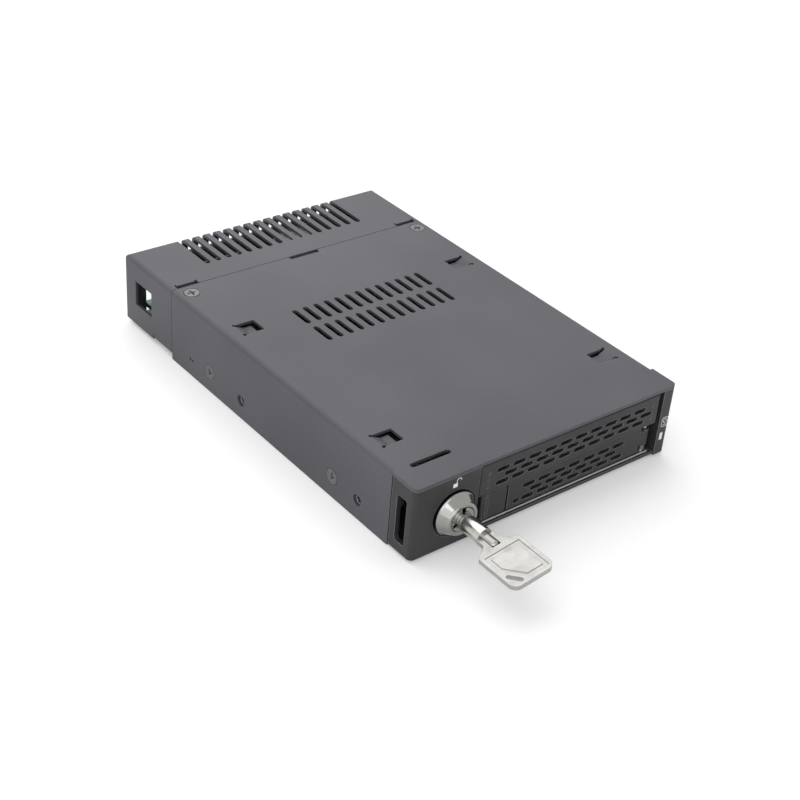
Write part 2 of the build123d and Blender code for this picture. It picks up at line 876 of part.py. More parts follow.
finish(lock_cylinder.part, "lock_cylinder")

# Cam: stands up while the lock is open and swings right, into the tray's slot, to lock it
with BuildPart() as lock_cam:
    with BuildSketch(face_at(plug_rear)) as cam_outline:
        with Locations((lock_x, lock_z)):
            RegularPolygon(cam_hub_radius, larger_sides)
        with Locations((lock_x, lock_z + cam_reach / 2)):
            Rectangle(cam_width, cam_reach)
        chamfer(cam_outline.vertices().group_by(Axis.Y)[-1], cam_width / 4)
        with BuildSketch(mode=Mode.SUBTRACT):
            with Locations((lock_x, lock_z)):
                Circle(tail_radius + seat_gap)
                Rectangle(2 * (tail_flat + seat_gap), 4 * tail_radius, mode=Mode.INTERSECT)
    extrude(amount=-cam_thickness)
finish(lock_cam.part, "lock_cam")

with BuildPart() as cam_screw:
    cam_screw_spot = [rearward(lock_x, plug_rear + cam_thickness, lock_z)]
    posts(cam_screw_spot, cam_screw_head, -cam_screw_head_height)
    posts(cam_screw_spot, cam_screw_radius, cam_screw_reach)
finish(cam_screw.part, "cam_screw")

# Key: a notched tube, a flat bow and the rivet that holds them together
tilt = radians(key_tilt)
bow_plane = Plane(
    origin=(lock_x, 0, lock_z), x_dir=(cos(tilt), 0, sin(tilt)), z_dir=(-sin(tilt), 0, cos(tilt))
)

with BuildPart() as key_tube:
    key_end = keyway_end - running_gap
    turned(
        [
            (key_tube_inner, key_tube_front),
            (key_tube_outer, key_tube_front),
            (key_tube_outer, key_end),
            (key_tube_inner, key_end),
        ],
        lock_x,
        lock_z,
    )
    lug_centre = (key_tube_outer + key_lug_radius) / 2
    lug_z = (lock_z + lug_centre - 0.5, lock_z + key_lug_radius)
    lug_x = (lock_x - key_lug_width / 2, lock_x + key_lug_width / 2)
    block(lug_x, (key_end - key_lug_length, key_end), lug_z)
finish(key_tube.part, "key_tube")

with BuildPart() as key_bow:
    with BuildSketch(bow_plane) as outline:
        with BuildLine():
            Polyline(
                (neck_half, key_tube_front),
                (neck_half, neck_end),
                (bow_half, bow_start),
                (bow_half, bow_end),
                (-bow_half, bow_end),
                (-bow_half, bow_start),
                (-neck_half, neck_end),
                (-neck_half, key_tube_front),
                close=True,
            )
        make_face()
        corners = outline.vertices().group_by(Axis.Y)
        fillet(corners[0], bow_corner)
        fillet(outline.vertices().filter_by_position(Axis.Y, bow_start - 0.01, bow_start + 0.01),
               shoulder_corner)
        fillet(outline.vertices().filter_by_position(Axis.Y, neck_end - 0.01, neck_end + 0.01),
               neck_corner)
        with Locations((ring_slot_x, ring_slot_y)):
            SlotOverall(ring_slot_length, ring_slot_width, rotation=ring_slot_angle,
                        mode=Mode.SUBTRACT)
        # Fork that takes the rivet
        with Locations((0, (rivet_front + key_tube_front) / 2)):
            Rectangle(2 * (rivet_radius + seat_gap), key_tube_front - rivet_front,
                      mode=Mode.SUBTRACT)
    extrude(amount=key_thickness / 2, both=True)
    # Both faces have a sunk panel with a flush shield in it, cut off beside the ring slot
    panel = bow_half - bow_rim
    shield = panel - shield_inset
    for face in (-1, 1):
        with BuildSketch(bow_plane.offset(face * key_thickness / 2)):
            with BuildLine():
                Polyline(
                    (panel, bow_start - bow_rim),
                    (panel, bow_end + bow_rim),
                    (-panel + 5.4, bow_end + bow_rim),
                    (-panel, bow_end + bow_rim + 7.4),
                    (-panel, bow_start - bow_rim),
                    close=True,
                )
            make_face()
            with BuildSketch(mode=Mode.SUBTRACT):
                with BuildLine():
                    Polyline(
                        (shield, bow_start - bow_rim - shield_inset),
                        (shield, bow_end + bow_rim + shield_inset),
                        (-shield + 4.2, bow_end + bow_rim + shield_inset),
                        (-shield, bow_end + bow_rim + shield_inset + 5.6),
                        (-shield, bow_start - bow_rim - shield_inset),
                        close=True,
                    )
                make_face()
        extrude(amount=-face * bow_relief, mode=Mode.SUBTRACT)
finish(key_bow.part, "key_bow")

with BuildPart() as key_rivet:
    turned(
        [
            (0, rivet_front),
            (rivet_radius - rivet_dome, rivet_front),
            (rivet_radius, rivet_front + rivet_dome),
            (rivet_radius, key_tube_front),
            (0, key_tube_front),
        ],
        lock_x,
        lock_z,
    )
    shank = [rearward(lock_x, key_tube_front, lock_z)]
    posts(shank, key_tube_inner - seat_gap, key_tube_front - rivet_rear)
finish(key_rivet.part, "key_rivet")

# Guides: folded channels at each side of the tray, on the pan's floor
left_web = tray_left - guide_gap
right_web = tray_right + guide_gap
guide_base = (sheet, sheet + guide_sheet)
guide_height = (sheet, guide_top)
guide_run = (guide_start, guide_end)
guide_flange = (guide_top - guide_sheet, guide_top)
ear_span = (ear_height_low, ear_height_high)
ear_depth = (guide_end - guide_sheet, guide_end)

with BuildPart() as left_guide:
    web = (left_web - guide_sheet, left_web)
    block(web, guide_run, guide_height)
    block((left_web - left_base_reach, left_web + guide_runner), guide_run, guide_base)
    block((left_top_edge, left_web), guide_run, guide_flange)
    block((backplane_left, left_web), ear_depth, ear_span)
    with BuildSketch(Plane.YZ.offset(left_web)):
        with Locations(*[(y, guide_hole_z) for y in guide_hole_rows]):
            eased(guide_hole_length, guide_hole_height, guide_hole_height / 4)
        with Locations(*[(y, ground_z) for y in ground_rows]):
            Rectangle(ground_window, ground_height + 2 * running_gap)
    extrude(amount=-guide_sheet, mode=Mode.SUBTRACT)
    left_screws = [upward(left_guide_screw_x, y, guide_base[1]) for y in guide_screw_rows]
    thread_holes(left_screws, thread_radius + seat_gap, guide_sheet)
    thread_holes([rearward(left_ear_x, guide_end, ear_screw_z)], thread_radius + seat_gap, guide_sheet)
finish(left_guide.part, "left_guide")

with BuildPart() as right_guide:
    web = (right_web, right_web + guide_sheet)
    outer_edge = flange_face - right_edge_gap
    block(web, guide_run, guide_height)
    block((right_web - guide_runner, flange_face - right_base_gap), guide_run, guide_base)
    block((right_web, outer_edge), guide_run, guide_flange)
    block((right_web - 4.4, right_web), ear_depth, (ear_height_high - 4.0, ear_height_high))
    with BuildSketch(Plane.YZ.offset(right_web)):
        with Locations(*[(y, guide_hole_z) for y in guide_hole_rows]):
            eased(guide_hole_length, guide_hole_height, guide_hole_height / 4)
        with Locations(*[(y, ground_z) for y in ground_rows]):
            Rectangle(ground_window, ground_height + 2 * running_gap)
    extrude(amount=guide_sheet, mode=Mode.SUBTRACT)
    right_screws = [upward(right_guide_screw_x, y, guide_base[1]) for y in guide_screw_rows]
    thread_holes(right_screws, thread_radius + seat_gap, guide_sheet)
    right_ear_screw = rearward(right_web - 2.2, guide_end, ear_height_high - 2.0)
    thread_holes([right_ear_screw], thread_radius + seat_gap, guide_sheet)
finish(right_guide.part, "right_guide")

# Ground springs: bowed leaves that reach through the guides' windows to the tray's walls
with BuildPart() as ground_springs:
    for side, web_x, tray_wall in (
        (-1, left_web - guide_sheet, tray_left),
        (1, right_web + guide_sheet, tray_right),
    ):
        for row in ground_rows:
            crown = tray_wall + side * ground_gap
            half_leaf = ground_length / 2
            half_open = ground_window / 2 - 0.5
            middle = half_open / 3
            leaf = [
                (web_x, -half_leaf), (web_x, -half_open), (crown, -middle),
                (crown, middle), (web_x, half_open), (web_x, half_leaf),
            ]
            with BuildSketch(Plane.XY.offset(ground_z - ground_height / 2)):
                with BuildLine():
                    outer = [(x + side * ground_thickness, y) for x, y in leaf]
                    Polyline(*[(x, row + y) for x, y in leaf + outer[::-1]], close=True)
                make_face()
            extrude(amount=ground_height)
finish(ground_springs.part, "ground_springs")

# Tray frame: a folded sheet that carries the drive on its floor, between its two walls
tray_wall_start = front + tray_front_depth + running_gap
cam_slot_rear = plug_rear + cam_thickness + running_gap + seat_gap
cam_slot_low = lock_z - cam_width / 2 - running_gap
drive_hole_rows = (drive_end - drive_hole_from_end, drive_end - drive_hole_from_end - drive_hole_spacing)
tray_screw_y = front + 8.2
tray_screw_x = [tray_x - tray_screw_half_spacing, tray_x + tray_screw_half_spacing]

with BuildPart() as tray_frame:
    tray_z = (tray_floor_z, tray_wall_top)
    tray_y = (tray_wall_start, tray_rear)
    folded_channel(tray_x, tray_width, tray_z, tray_y, tray_sheet, 1.2, False)
    floor_y = (front + lever_recess, tray_wall_start)
    block((tray_left, tray_right), floor_y, (tray_floor_z, tray_floor_top))
    notch_y = (tray_wall_start, cam_slot_rear)
    notch_x = (tray_left, tray_left + 2 * tray_sheet)
    block(notch_x, notch_y, (cam_slot_low, tray_wall_top), mode=Mode.SUBTRACT)
    with BuildSketch(Plane.XY.offset(tray_floor_top)):
        with Locations((tray_x, (tray_wall_start + tray_rear) / 2)):
            with GridLocations(tray_slot_pitch, tray_slot_row_pitch, tray_slot_count, 2):
                slot(tray_slot_length, tray_slot_width, 90)
        for y in drive_hole_rows:
            for side in (-1, 1):
                with Locations((tray_x + side * drive_hole_across / 2, y)):
                    Circle(drive_hole_radius)
        with Locations((pin_x, pin_y)):
            RegularPolygon(pin_radius + seat_gap, least_sides)
    extrude(amount=-tray_sheet, mode=Mode.SUBTRACT)
    with BuildSketch(Plane.YZ.offset(tray_left)):
        with Locations(*[(y, side_hole_z) for y in drive_hole_rows]):
            Circle(side_hole_radius)
    extrude(amount=tray_width, mode=Mode.SUBTRACT)
    tray_screw_spots = [downward(x, tray_screw_y, tray_floor_z) for x in tray_screw_x]
    flared(tray_screw_spots, tray_screw_head + head_gap, tray_screw_radius + head_gap, tray_sheet,
           mode=Mode.SUBTRACT)
finish(tray_frame.part, "tray_frame")

# Tray front: the grille panel above and the pocket for the lever and the button below
with BuildPart() as tray_front:
    back_face = front + pocket_depth + back_wall
    tray_front_rear = front + tray_front_depth
    across = (tray_left, tray_right)
    inside = (tray_left + tray_front_wall, tray_right - tray_front_wall)
    block(across, (front, tray_front_rear), (tray_floor_top, panel_top))
    behind = (tray_floor_top + tray_front_floor, panel_top - shelf_thickness)
    block(inside, (back_face, tray_front_rear), behind, mode=Mode.SUBTRACT)
    behind_panel = (panel_low + shelf_thickness, panel_top - shelf_thickness)
    block(inside, (front + panel_thickness, back_face), behind_panel, mode=Mode.SUBTRACT)
    pocket = (front, front + pocket_depth)
    block(across, pocket, (tray_floor_top, panel_low), mode=Mode.SUBTRACT)
    rim = tray_front.faces().filter_by(Axis.Y).sort_by(Axis.Y)[0].outer_wire().edges()
    fillet(rim, panel_edge)
    # Grille of the upper panel, with the blind marks at its ends
    with BuildSketch(face_at(front)):
        for row in (-1, 0, 1):
            shift = grille_pitch / 2 if row == 0 else 0
            with Locations((grille_x + shift, grille_z + row * grille_row_pitch)):
                with GridLocations(grille_pitch, 0, grille_count, 1):
                    eased(grille_length, grille_height, grille_corner)
    extrude(amount=-panel_thickness, mode=Mode.SUBTRACT)
    for x, rows in ((dimple_left, left_dimple_rows), (dimple_right, right_dimple_rows)):
        marks = [forward(tray_x + x, front, grille_z + row * grille_row_pitch) for row in rows]
        thread_holes(marks, dimple_radius, dimple_depth)
    # Airflow window behind the lever, and the slot that the button's neck slides in
    wall_y = (front + pocket_depth, back_face)
    block((window_left, window_right), wall_y, (window_low, window_high), mode=Mode.SUBTRACT)
    neck_slot = (neck_left - button_travel - neck_gap, neck_right + neck_gap)
    block(neck_slot, wall_y, (neck_low - neck_gap, neck_high + neck_gap), mode=Mode.SUBTRACT)
    for x in tray_screw_x:
        block((x - boss_half, x + boss_half), (back_face + 0.8, tray_front_rear), (tray_floor_top, boss_top))
    holes = [downward(x, tray_screw_y, tray_floor_top) for x in tray_screw_x]
    thread_holes(holes, tray_screw_radius + seat_gap, tray_screw_reach)
    thread_holes([downward(pin_x, pin_y, panel_low)], pin_radius + seat_gap, pin_top - panel_low)
finish(tray_front.part, "tray_front")

with BuildPart() as airflow_screen:
    with BuildSketch(face_at(back_face)):
        with Locations(((window_left + window_right) / 2, (window_low + window_high) / 2)):
            Rectangle(window_right - window_left + 2 * screen_margin, window_high - window_low)
            with GridLocations(screen_pitch, screen_row_pitch, screen_count, screen_rows):
                Rectangle(screen_hole, screen_hole_height, mode=Mode.SUBTRACT)
    extrude(amount=-screen_thickness)
    screen_x = (window_left - screen_margin, window_right + screen_margin)
    screen_y = (back_face, back_face + screen_thickness)
    block(screen_x, screen_y, (tray_floor_top + tray_front_floor, window_low + 0.2))
    block(screen_x, screen_y, (window_high - 0.2, window_high + screen_margin))
finish(airflow_screen.part, "airflow_screen")

with BuildPart() as tray_screws:
    flared(tray_screw_spots, tray_screw_head, tray_screw_radius, tray_sheet)
    posts(tray_screw_spots, tray_screw_radius, tray_screw_reach)
finish(tray_screws.part, "tray_screws")

# Latch lever: swings out round its pin at the right end and is the tray's pull handle
lever_face = front + lever_recess
lever_back = lever_face + lever_thickness
barrel = pin_radius + barrel_wall

with BuildPart() as latch_lever:
    block((lever_left, lever_notch_x), (lever_face, lever_back), (lever_low, lever_high))
    block((lever_notch_x, pin_x), (lever_face, lever_back), (hinge_low, hinge_high))
    edges = latch_lever.faces().filter_by(Axis.Y).sort_by(Axis.Y)[0].outer_wire().edges()
    chamfer(edges.filter_by(Axis.X), lever_edge)
    with BuildSketch(face_at(lever_face)):
        for row, count in ((1, long_row_count), (0, short_row_count), (-1, long_row_count)):
            with Locations((lever_grille_x, lever_grille_z + row * lever_grille_row_pitch)):
                with GridLocations(grille_pitch, 0, count, 1):
                    eased(grille_length, grille_height, grille_corner)
        with Locations((lever_short_slot_x, lever_grille_z - lever_grille_row_pitch)):
            eased(lever_short_slot, grille_height, grille_corner)
    extrude(amount=-lever_thickness, mode=Mode.SUBTRACT)
    with BuildSketch(upward(pin_x, pin_y, hinge_low)):
        RegularPolygon(barrel, larger_sides)
    extrude(amount=hinge_high - hinge_low)
    with BuildSketch(upward(pin_x, pin_y, hinge_low)):
        RegularPolygon(pin_radius + shaft_gap, small_sides)
    extrude(amount=hinge_high - hinge_low, mode=Mode.SUBTRACT)
finish(latch_lever.part, "latch_lever")

with BuildPart() as lever_pin:
    posts([upward(pin_x, pin_y, pin_top)], pin_radius, pin_top - tray_floor_z)
finish(lever_pin.part, "lever_pin")

with BuildPart() as lever_spring:
    lever_spring_start = Vector(pin_x, pin_y, lever_spring_z)
    across_ways = (Vector(1, 0, 0), Vector(0, 1, 0))
    coil_spring(lever_spring_start, Vector(0, 0, 1), *across_ways, lever_spring_radius,
                lever_spring_turns, lever_spring_height)
finish(lever_spring.part, "lever_spring")

# Release button: its neck slides in the back wall and its shoe holds it there
with BuildPart() as release_button:
    block((button_left, button_right), (lever_face, lever_back), (lever_low, lever_high))
    edges = release_button.faces().filter_by(Axis.Y).sort_by(Axis.Y)[0].outer_wire().edges()
    chamfer(edges, lever_edge)
    thumb_rib = (thumb_rib_x - thumb_rib_width / 2, thumb_rib_x + thumb_rib_width / 2)
    rib_height = (lever_low + thumb_rib_margin, lever_high - thumb_rib_margin)
    block(thumb_rib, (lever_face - thumb_rib_height, lever_back), rib_height)
    block((neck_left, neck_right), (lever_back, shoe_rear), (neck_low, neck_high))
    shoe_y = (back_face + shaft_gap, shoe_rear)
    block((shoe_left, shoe_right), shoe_y, (neck_low - shoe_margin, neck_high + shoe_margin))
finish(release_button.part, "release_button")

with BuildPart() as button_spring:
    spring_start = tray_left + tray_front_wall + spring_wire
    spring_height = shoe_left - spring_wire - spring_start
    button_spring_start = Vector(spring_start, button_spring_y, (neck_low + neck_high) / 2)
    across_ways = (Vector(0, 1, 0), Vector(0, 0, 1))
    coil_spring(button_spring_start, Vector(1, 0, 0), *across_ways, button_spring_radius,
                button_spring_turns, spring_height)
finish(button_spring.part, "button_spring")

# Backplane board, which stands on the guides' rear ears, and the socket for the drive
back_front = guide_end
back_rear = back_front + board_thickness
right_ear_x = right_web - 2.2
right_ear_z = ear_height_high - 2.0

with BuildPart() as backplane_board:
    block((backplane_left, backplane_right), (back_front, back_rear), (sheet + running_gap, backplane_top))
    with BuildSketch(face_at(back_front)):
        with Locations((tray_x, board_vent_z)):
            with GridLocations(board_vent_pitch, 0, board_vent_count, 1):
                Rectangle(board_vent_length, board_vent_width)
    extrude(amount=-board_thickness, mode=Mode.SUBTRACT)
    spots = [rearward(left_ear_x, back_rear, ear_screw_z), rearward(right_ear_x, back_rear, right_ear_z)]
    thread_holes(spots, thread_radius + board_gap, board_thickness)
finish(backplane_board.part, "backplane_board")

with BuildPart() as backplane_screws:
    pan_head_screws(spots, pan_head_radius, thread_radius, board_thickness + guide_sheet)
finish(backplane_screws.part, "backplane_screws")

with BuildPart() as drive_socket:
    socket_x = (tray_x - socket_length / 2, tray_x + socket_length / 2)
    block(socket_x, (socket_front, back_front), (socket_z - socket_height / 2, socket_z + socket_height / 2))
    mouth_z = (socket_z - socket_mouth_height / 2, socket_z + socket_mouth_height / 2)
    mouth_x = (tray_x - socket_mouth_length / 2, tray_x + socket_mouth_length / 2)
    mouth_y = (socket_front, socket_front + socket_mouth_depth)
    block(mouth_x, mouth_y, mouth_z, mode=Mode.SUBTRACT)
    # The two contact tongues lie on the lower side
    tongue = (mouth_z[0] - 0.1, mouth_z[0] + 1.0)
    block((mouth_x[0] + 1.5, mouth_x[0] + 25.0), (mouth_y[0] + 0.8, mouth_y[1]), tongue)
    block((mouth_x[0] + 27.0, mouth_x[1] - 1.5), (mouth_y[0] + 0.8, mouth_y[1]), tongue)
finish(drive_socket.part, "drive_socket")

with BuildPart() as status_lamp:
    lamp_x = (pipe_x - lamp_width / 2, pipe_x + lamp_width / 2)
    lamp_z = (pipe_run_z - lamp_height / 2, pipe_run_z + lamp_height / 2)
    block(lamp_x, (back_front - lamp_depth, back_front), lamp_z)
finish(status_lamp.part, "status_lamp")

# Light pipe: runs from the lamp to the bezel and steps down behind the bezel
with BuildPart() as light_pipe:
    pipe_end = back_front - lamp_depth - pipe_gap
    low = pipe_front_z - pipe_height / 2
    high = pipe_run_z - pipe_height / 2
    with BuildSketch(Plane.YZ.offset(pipe_x - pipe_width / 2)):
        with BuildLine():
            Polyline(
                (front + pipe_gap, low),
                (pipe_jog_start, low),
                (pipe_jog_end, high),
                (pipe_end, high),
                (pipe_end, high + pipe_height),
                (pipe_jog_end, high + pipe_height),
                (pipe_jog_start, low + pipe_height),
                (front + pipe_gap, low + pipe_height),
                close=True,
            )
        make_face()
    extrude(amount=pipe_width)
finish(light_pipe.part, "light_pipe")

# Rear board with the two ports, on standoffs above the pan's tongue
board_top = io_board_low + board_thickness
tongue_top = tongue_low + sheet

with BuildPart() as rear_board:
    block((-io_board_half, io_board_half), (back_rear + 0.6, io_board_rear), (io_board_low, board_top))
    board_holes = [upward(x, y, board_top) for x, y in standoff_spots]
    thread_holes(board_holes, thread_radius + board_gap, board_thickness)
finish(rear_board.part, "rear_board")

with BuildPart() as board_standoffs:
    tops = [upward(x, y, io_board_low) for x, y in standoff_spots]
    with BuildSketch(*tops):
        RegularPolygon(standoff_radius, 6)
    extrude(amount=tongue_top - io_board_low)
    thread_holes(tops, thread_radius + seat_gap, io_board_low - tongue_top)
finish(board_standoffs.part, "board_standoffs")

with BuildPart() as board_screws:
    pan_head_screws(board_holes, pan_head_radius, thread_radius, board_top - tongue_low)
finish(board_screws.part, "board_screws")

with BuildPart() as board_header:
    header_y = (back_rear, back_rear + header_depth)
    block((-header_half, header_half), header_y, (board_top, board_top + header_height))
finish(board_header.part, "board_header")

port_face = rear - running_gap

with BuildPart() as data_port:
    port_x = (data_port_x - data_port_width / 2, data_port_x + data_port_width / 2)
    port_z = (board_top, board_top + data_port_height)
    block(port_x, (port_face - data_port_length, port_face), port_z)
    mouth_x = (data_port_x - data_mouth_width / 2, data_port_x + data_mouth_width / 2)
    mouth_low = board_top + (data_port_height - data_mouth_height) / 2
    mouth_y = (port_face - data_mouth_depth, port_face)
    block(mouth_x, mouth_y, (mouth_low, mouth_low + data_mouth_height), mode=Mode.SUBTRACT)
    blade_z = (mouth_low + 1.8, mouth_low + 2.8)
    block((mouth_x[0] + 1.2, mouth_x[1] - 1.2), (mouth_y[0] - 0.5, mouth_y[1] - 1.5), blade_z)
finish(data_port.part, "data_port")

with BuildPart() as power_port:
    port_x = (power_port_x - power_port_width / 2, power_port_x + power_port_width / 2)
    port_z = (board_top, board_top + power_port_height)
    block(port_x, (port_face - power_port_length, port_face), port_z)
    mouth_x = (power_port_x - power_mouth_width / 2, power_port_x + power_mouth_width / 2)
    mouth_low = board_top + (power_port_height - power_mouth_height) / 2
    mouth_y = (port_face - power_mouth_depth, port_face)
    block(mouth_x, mouth_y, (mouth_low, mouth_low + power_mouth_height), mode=Mode.SUBTRACT)
    blade_z = (mouth_low - 0.1, mouth_low + power_blade_thickness)
    block((mouth_x[0] + 1.5, mouth_x[1] - 1.5), (mouth_y[0], mouth_y[1] - 1.2), blade_z)
finish(power_port.part, "power_port")

with BuildPart() as board_capacitors:
    cans = [upward(x, capacitor_y, board_top) for x in capacitor_x]
    posts(cans, capacitor_radius, -capacitor_height)
finish(board_capacitors.part, "board_capacitors")

with BuildPart() as board_chip:
    half_chip = chip_size / 2
    block((chip_x - half_chip, chip_x + half_chip), (chip_y - half_chip, chip_y + half_chip),
          (board_top, board_top + chip_height))
finish(board_chip.part, "board_chip")

# Fasteners of the case
with BuildPart() as mount_nuts:
    for side in (-1, 1):
        outer = [sideways(side * wall_face, y, mount_z, side) for y in mount_rows]
        inner = [sideways(side * flange_face, y, mount_z, side) for y in mount_rows]
        posts(outer, nut_shank_radius, sheet)
        posts(inner, nut_flange_radius, nut_flange_depth)
        bores(outer, mount_thread_radius, sheet + nut_flange_depth)
finish(mount_nuts.part, "mount_nuts")

with BuildPart() as cover_screws:
    flush_screws(cover_screw_spots + side_screw_spots, screw_reach)
finish(cover_screws.part, "cover_screws")

with BuildPart() as guide_screws:
    flush_screws(guide_screw_spots, guide_screw_reach)
finish(guide_screws.part, "guide_screws")
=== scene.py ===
import bmesh
import bpy
import numpy as np
from bpy.props import FloatProperty, FloatVectorProperty, IntProperty, PointerProperty
from mathutils import Matrix, Vector


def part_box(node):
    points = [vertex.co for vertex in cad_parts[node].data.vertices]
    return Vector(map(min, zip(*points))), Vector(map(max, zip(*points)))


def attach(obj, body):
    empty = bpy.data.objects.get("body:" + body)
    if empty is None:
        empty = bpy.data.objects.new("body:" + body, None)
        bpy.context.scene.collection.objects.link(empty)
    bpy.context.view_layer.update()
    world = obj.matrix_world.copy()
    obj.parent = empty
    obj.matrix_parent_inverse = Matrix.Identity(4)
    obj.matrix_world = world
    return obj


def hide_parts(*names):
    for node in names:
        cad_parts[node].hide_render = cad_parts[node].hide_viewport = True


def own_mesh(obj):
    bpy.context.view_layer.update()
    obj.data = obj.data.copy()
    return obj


# Looks for a hot swap drive cage: finishes for every sheet, moulding and fitting, and the fine
# pressed, turned, wound and printed pieces that the solids leave plain. All lengths are in
# metres, and a bare number beside MM is in millimetres.

bl_info = {
    "name": "Drive Cage Finishes",
    "version": (1, 0, 0),
    "blender": (4, 5, 0),
    "location": "3D View > Sidebar > Cage",
    "description": "Gives a drive cage its finishes, screws, springs, marks, contacts and studio",
    "category": "Object",
}

MM = 0.001

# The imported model, its box before anything is added, and where the case's faces stand
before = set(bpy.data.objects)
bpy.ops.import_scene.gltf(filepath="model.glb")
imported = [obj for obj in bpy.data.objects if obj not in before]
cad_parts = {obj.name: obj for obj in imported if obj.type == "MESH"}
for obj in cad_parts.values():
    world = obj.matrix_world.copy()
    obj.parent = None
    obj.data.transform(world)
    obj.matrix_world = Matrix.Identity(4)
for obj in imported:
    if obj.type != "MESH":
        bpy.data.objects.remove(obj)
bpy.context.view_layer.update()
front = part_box("front_bezel")[0].y
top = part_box("top_cover")[1].z
case_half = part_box("top_cover")[1].x


def linear(hex_colour):
    """The linear colour of an sRGB hex value, with full alpha."""
    srgb = np.array([int(hex_colour[i:i + 2], 16) / 255 for i in (1, 3, 5)])
    low = srgb / 12.92
    high = ((srgb + 0.055) / 1.055) ** 2.4
    return (*np.where(srgb <= 0.04045, low, high).tolist(), 1.0)


def paint(label, hex_colour, meaning):
    """A colour that a user can change, from its sRGB hex value."""
    return FloatVectorProperty(
        name=label, description=meaning, default=linear(hex_colour), size=4, subtype="COLOR",
        min=0.0, max=1.0,
    )


def span(label, millimetres, meaning):
    """A length that a user can change, given in millimetres and kept in metres."""
    return FloatProperty(
        name=label, description=meaning, default=millimetres * MM, unit="LENGTH",
        subtype="DISTANCE", min=0.0, precision=5,
    )


class CageColours(bpy.types.PropertyGroup):
    """Colours of the finishes."""

    case: paint("Case", "#3e3d44", "Powder coat on the folded steel")
    # Serves as the paler tone of the coat's random clouds and flecks, and as the painted highlight
    # along the case's edges
    case_pale_tone_and_highlight: paint("Case edge", "#727177", "Powder coat where it thins over an edge")
    moulding: paint("Moulding", "#333335", "Bezel, tray front, lever and button")
    zinc: paint("Zinc", "#b4b7b8", "Zinc plated sheet of the tray and the guides")
    bright_steel: paint("Bright steel", "#e2e3e3", "Screen, pin and springs")
    black_screw: paint("Screw", "#6a6a6d", "Blackened screws of the case")
    chrome: paint("Chrome", "#959592", "Collar and plug of the lock")
    nickel: paint("Nickel", "#a6a5a2", "Key")
    tube: paint("Key tube", "#c2c1bb", "Key's turned tube")
    board: paint("Board", "#0f5238", "Solder mask of the two boards")
    copper: paint("Traces", "#1f6c4a", "Solder mask over the copper")
    housing: paint("Housing", "#1c1c1e", "Moulded connectors")
    brass: paint("Brass", "#b9974f", "Standoffs of the rear board")
    gold: paint("Contacts", "#d6ad5c", "Gold flash on the contacts")
    ink: paint("Ink", "#e9eaea", "Printed marks on the bezel")
    lens: paint("Lens", "#f2f3f4", "Milky end of the light pipe")
    floor: paint("Floor", "#f4f4f4", "Floor and backdrop")


class CageSizes(bpy.types.PropertyGroup):
    """Sizes of the new pieces."""

    edge: span("Edge radius", 0.28, "How far the sheet and moulded edges are softened")
    recess_length: span("Recess length", 2.9, "Length of the cross in a screw's head")
    recess_width: span("Recess width", 0.62, "Width of the cross in a screw's head")
    recess_depth: span("Recess depth", 0.75, "Depth of the cross in a screw's head")
    thread_pitch: span("Thread pitch", 0.75, "Pitch of the thread on the lock's barrel")
    thread_depth: span("Thread depth", 0.22, "Depth of the thread on the lock's barrel")
    wire: span("Spring wire", 0.26, "Diameter of the wire of the two coil springs")
    ink_height: span("Ink height", 0.03, "How far the printed marks stand proud")
    ink_line: span("Ink line", 0.22, "Width of a line in the printed marks")
    contact_width: span("Contact width", 0.8, "Width of a contact in the drive's socket")
    contact_pitch: span("Contact pitch", 1.27, "Spacing of the contacts in the drive's socket")
    turns: IntProperty(name="Spring turns", description="Turns of each coil", default=5, min=2)


# Surfaces


def mesh_piece(name, grids, material, body, closed_along=False, smooth=35):
    """One object from grids of points with the shape (grids, rows, columns, 3).

    Each face joins four neighbours. The columns run round and meet themselves, and so do the
    rows where closed_along is set. A row whose points are all the same is a pole. Points that
    fall together are merged, which closes seams and poles, and faces are turned outwards. Edges
    that turn by more than smooth degrees stay sharp.
    """
    count, rows, columns, _ = grids.shape
    index = np.arange(count * rows * columns).reshape(count, rows, columns)
    index = np.concatenate([index, index[:, :, :1]], axis=2)
    if closed_along:
        index = np.concatenate([index, index[:, :1]], axis=1)
    corners = (index[:, :-1, :-1], index[:, 1:, :-1], index[:, 1:, 1:], index[:, :-1, 1:])
    faces = np.stack(corners, axis=-1).reshape(-1, 4)
    mesh = bpy.data.meshes.new(name)
    mesh.from_pydata(grids.reshape(-1, 3).tolist(), [], faces.tolist())
    form = bmesh.new()
    form.from_mesh(mesh)
    bmesh.ops.remove_doubles(form, verts=form.verts, dist=1e-7)
    bmesh.ops.dissolve_degenerate(form, dist=1e-8, edges=form.edges)
    bmesh.ops.recalc_face_normals(form, faces=form.faces)
    form.to_mesh(mesh)
    form.free()
    mesh.shade_smooth()
    mesh.set_sharp_from_angle(angle=np.radians(smooth))
    mesh.materials.append(material)
    piece = bpy.data.objects.new(name, mesh)
    bpy.context.scene.collection.objects.link(piece)
    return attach(piece, body)


def eased(points, radius, steps=5, closed=True):
    """An outline with its corners rounded.

    Each corner becomes the curve (1 - t)^2 a + 2 t (1 - t) corner + t^2 b, for t from 0 to 1,
    where a and b lie on the two sides at most radius from the corner, or half a side where that
    is shorter. An open outline keeps its two ends.
    """
    points = np.asarray(points, float)
    before = np.roll(points, 1, axis=0) - points
    after = np.roll(points, -1, axis=0) - points
    length_before = np.linalg.norm(before, axis=1, keepdims=True)
    length_after = np.linalg.norm(after, axis=1, keepdims=True)
    a = points + before / length_before * np.minimum(radius, length_before / 2)
    b = points + after / length_after * np.minimum(radius, length_after / 2)
    t = np.linspace(0, 1, steps)[None, :, None]
    curve = (1 - t) ** 2 * a[:, None] + 2 * t * (1 - t) * points[:, None] + t ** 2 * b[:, None]
    if closed:
        return curve.reshape(-1, points.shape[1])
    inner = curve[1:-1].reshape(-1, points.shape[1])
    return np.concatenate([points[:1], inner, points[-1:]])


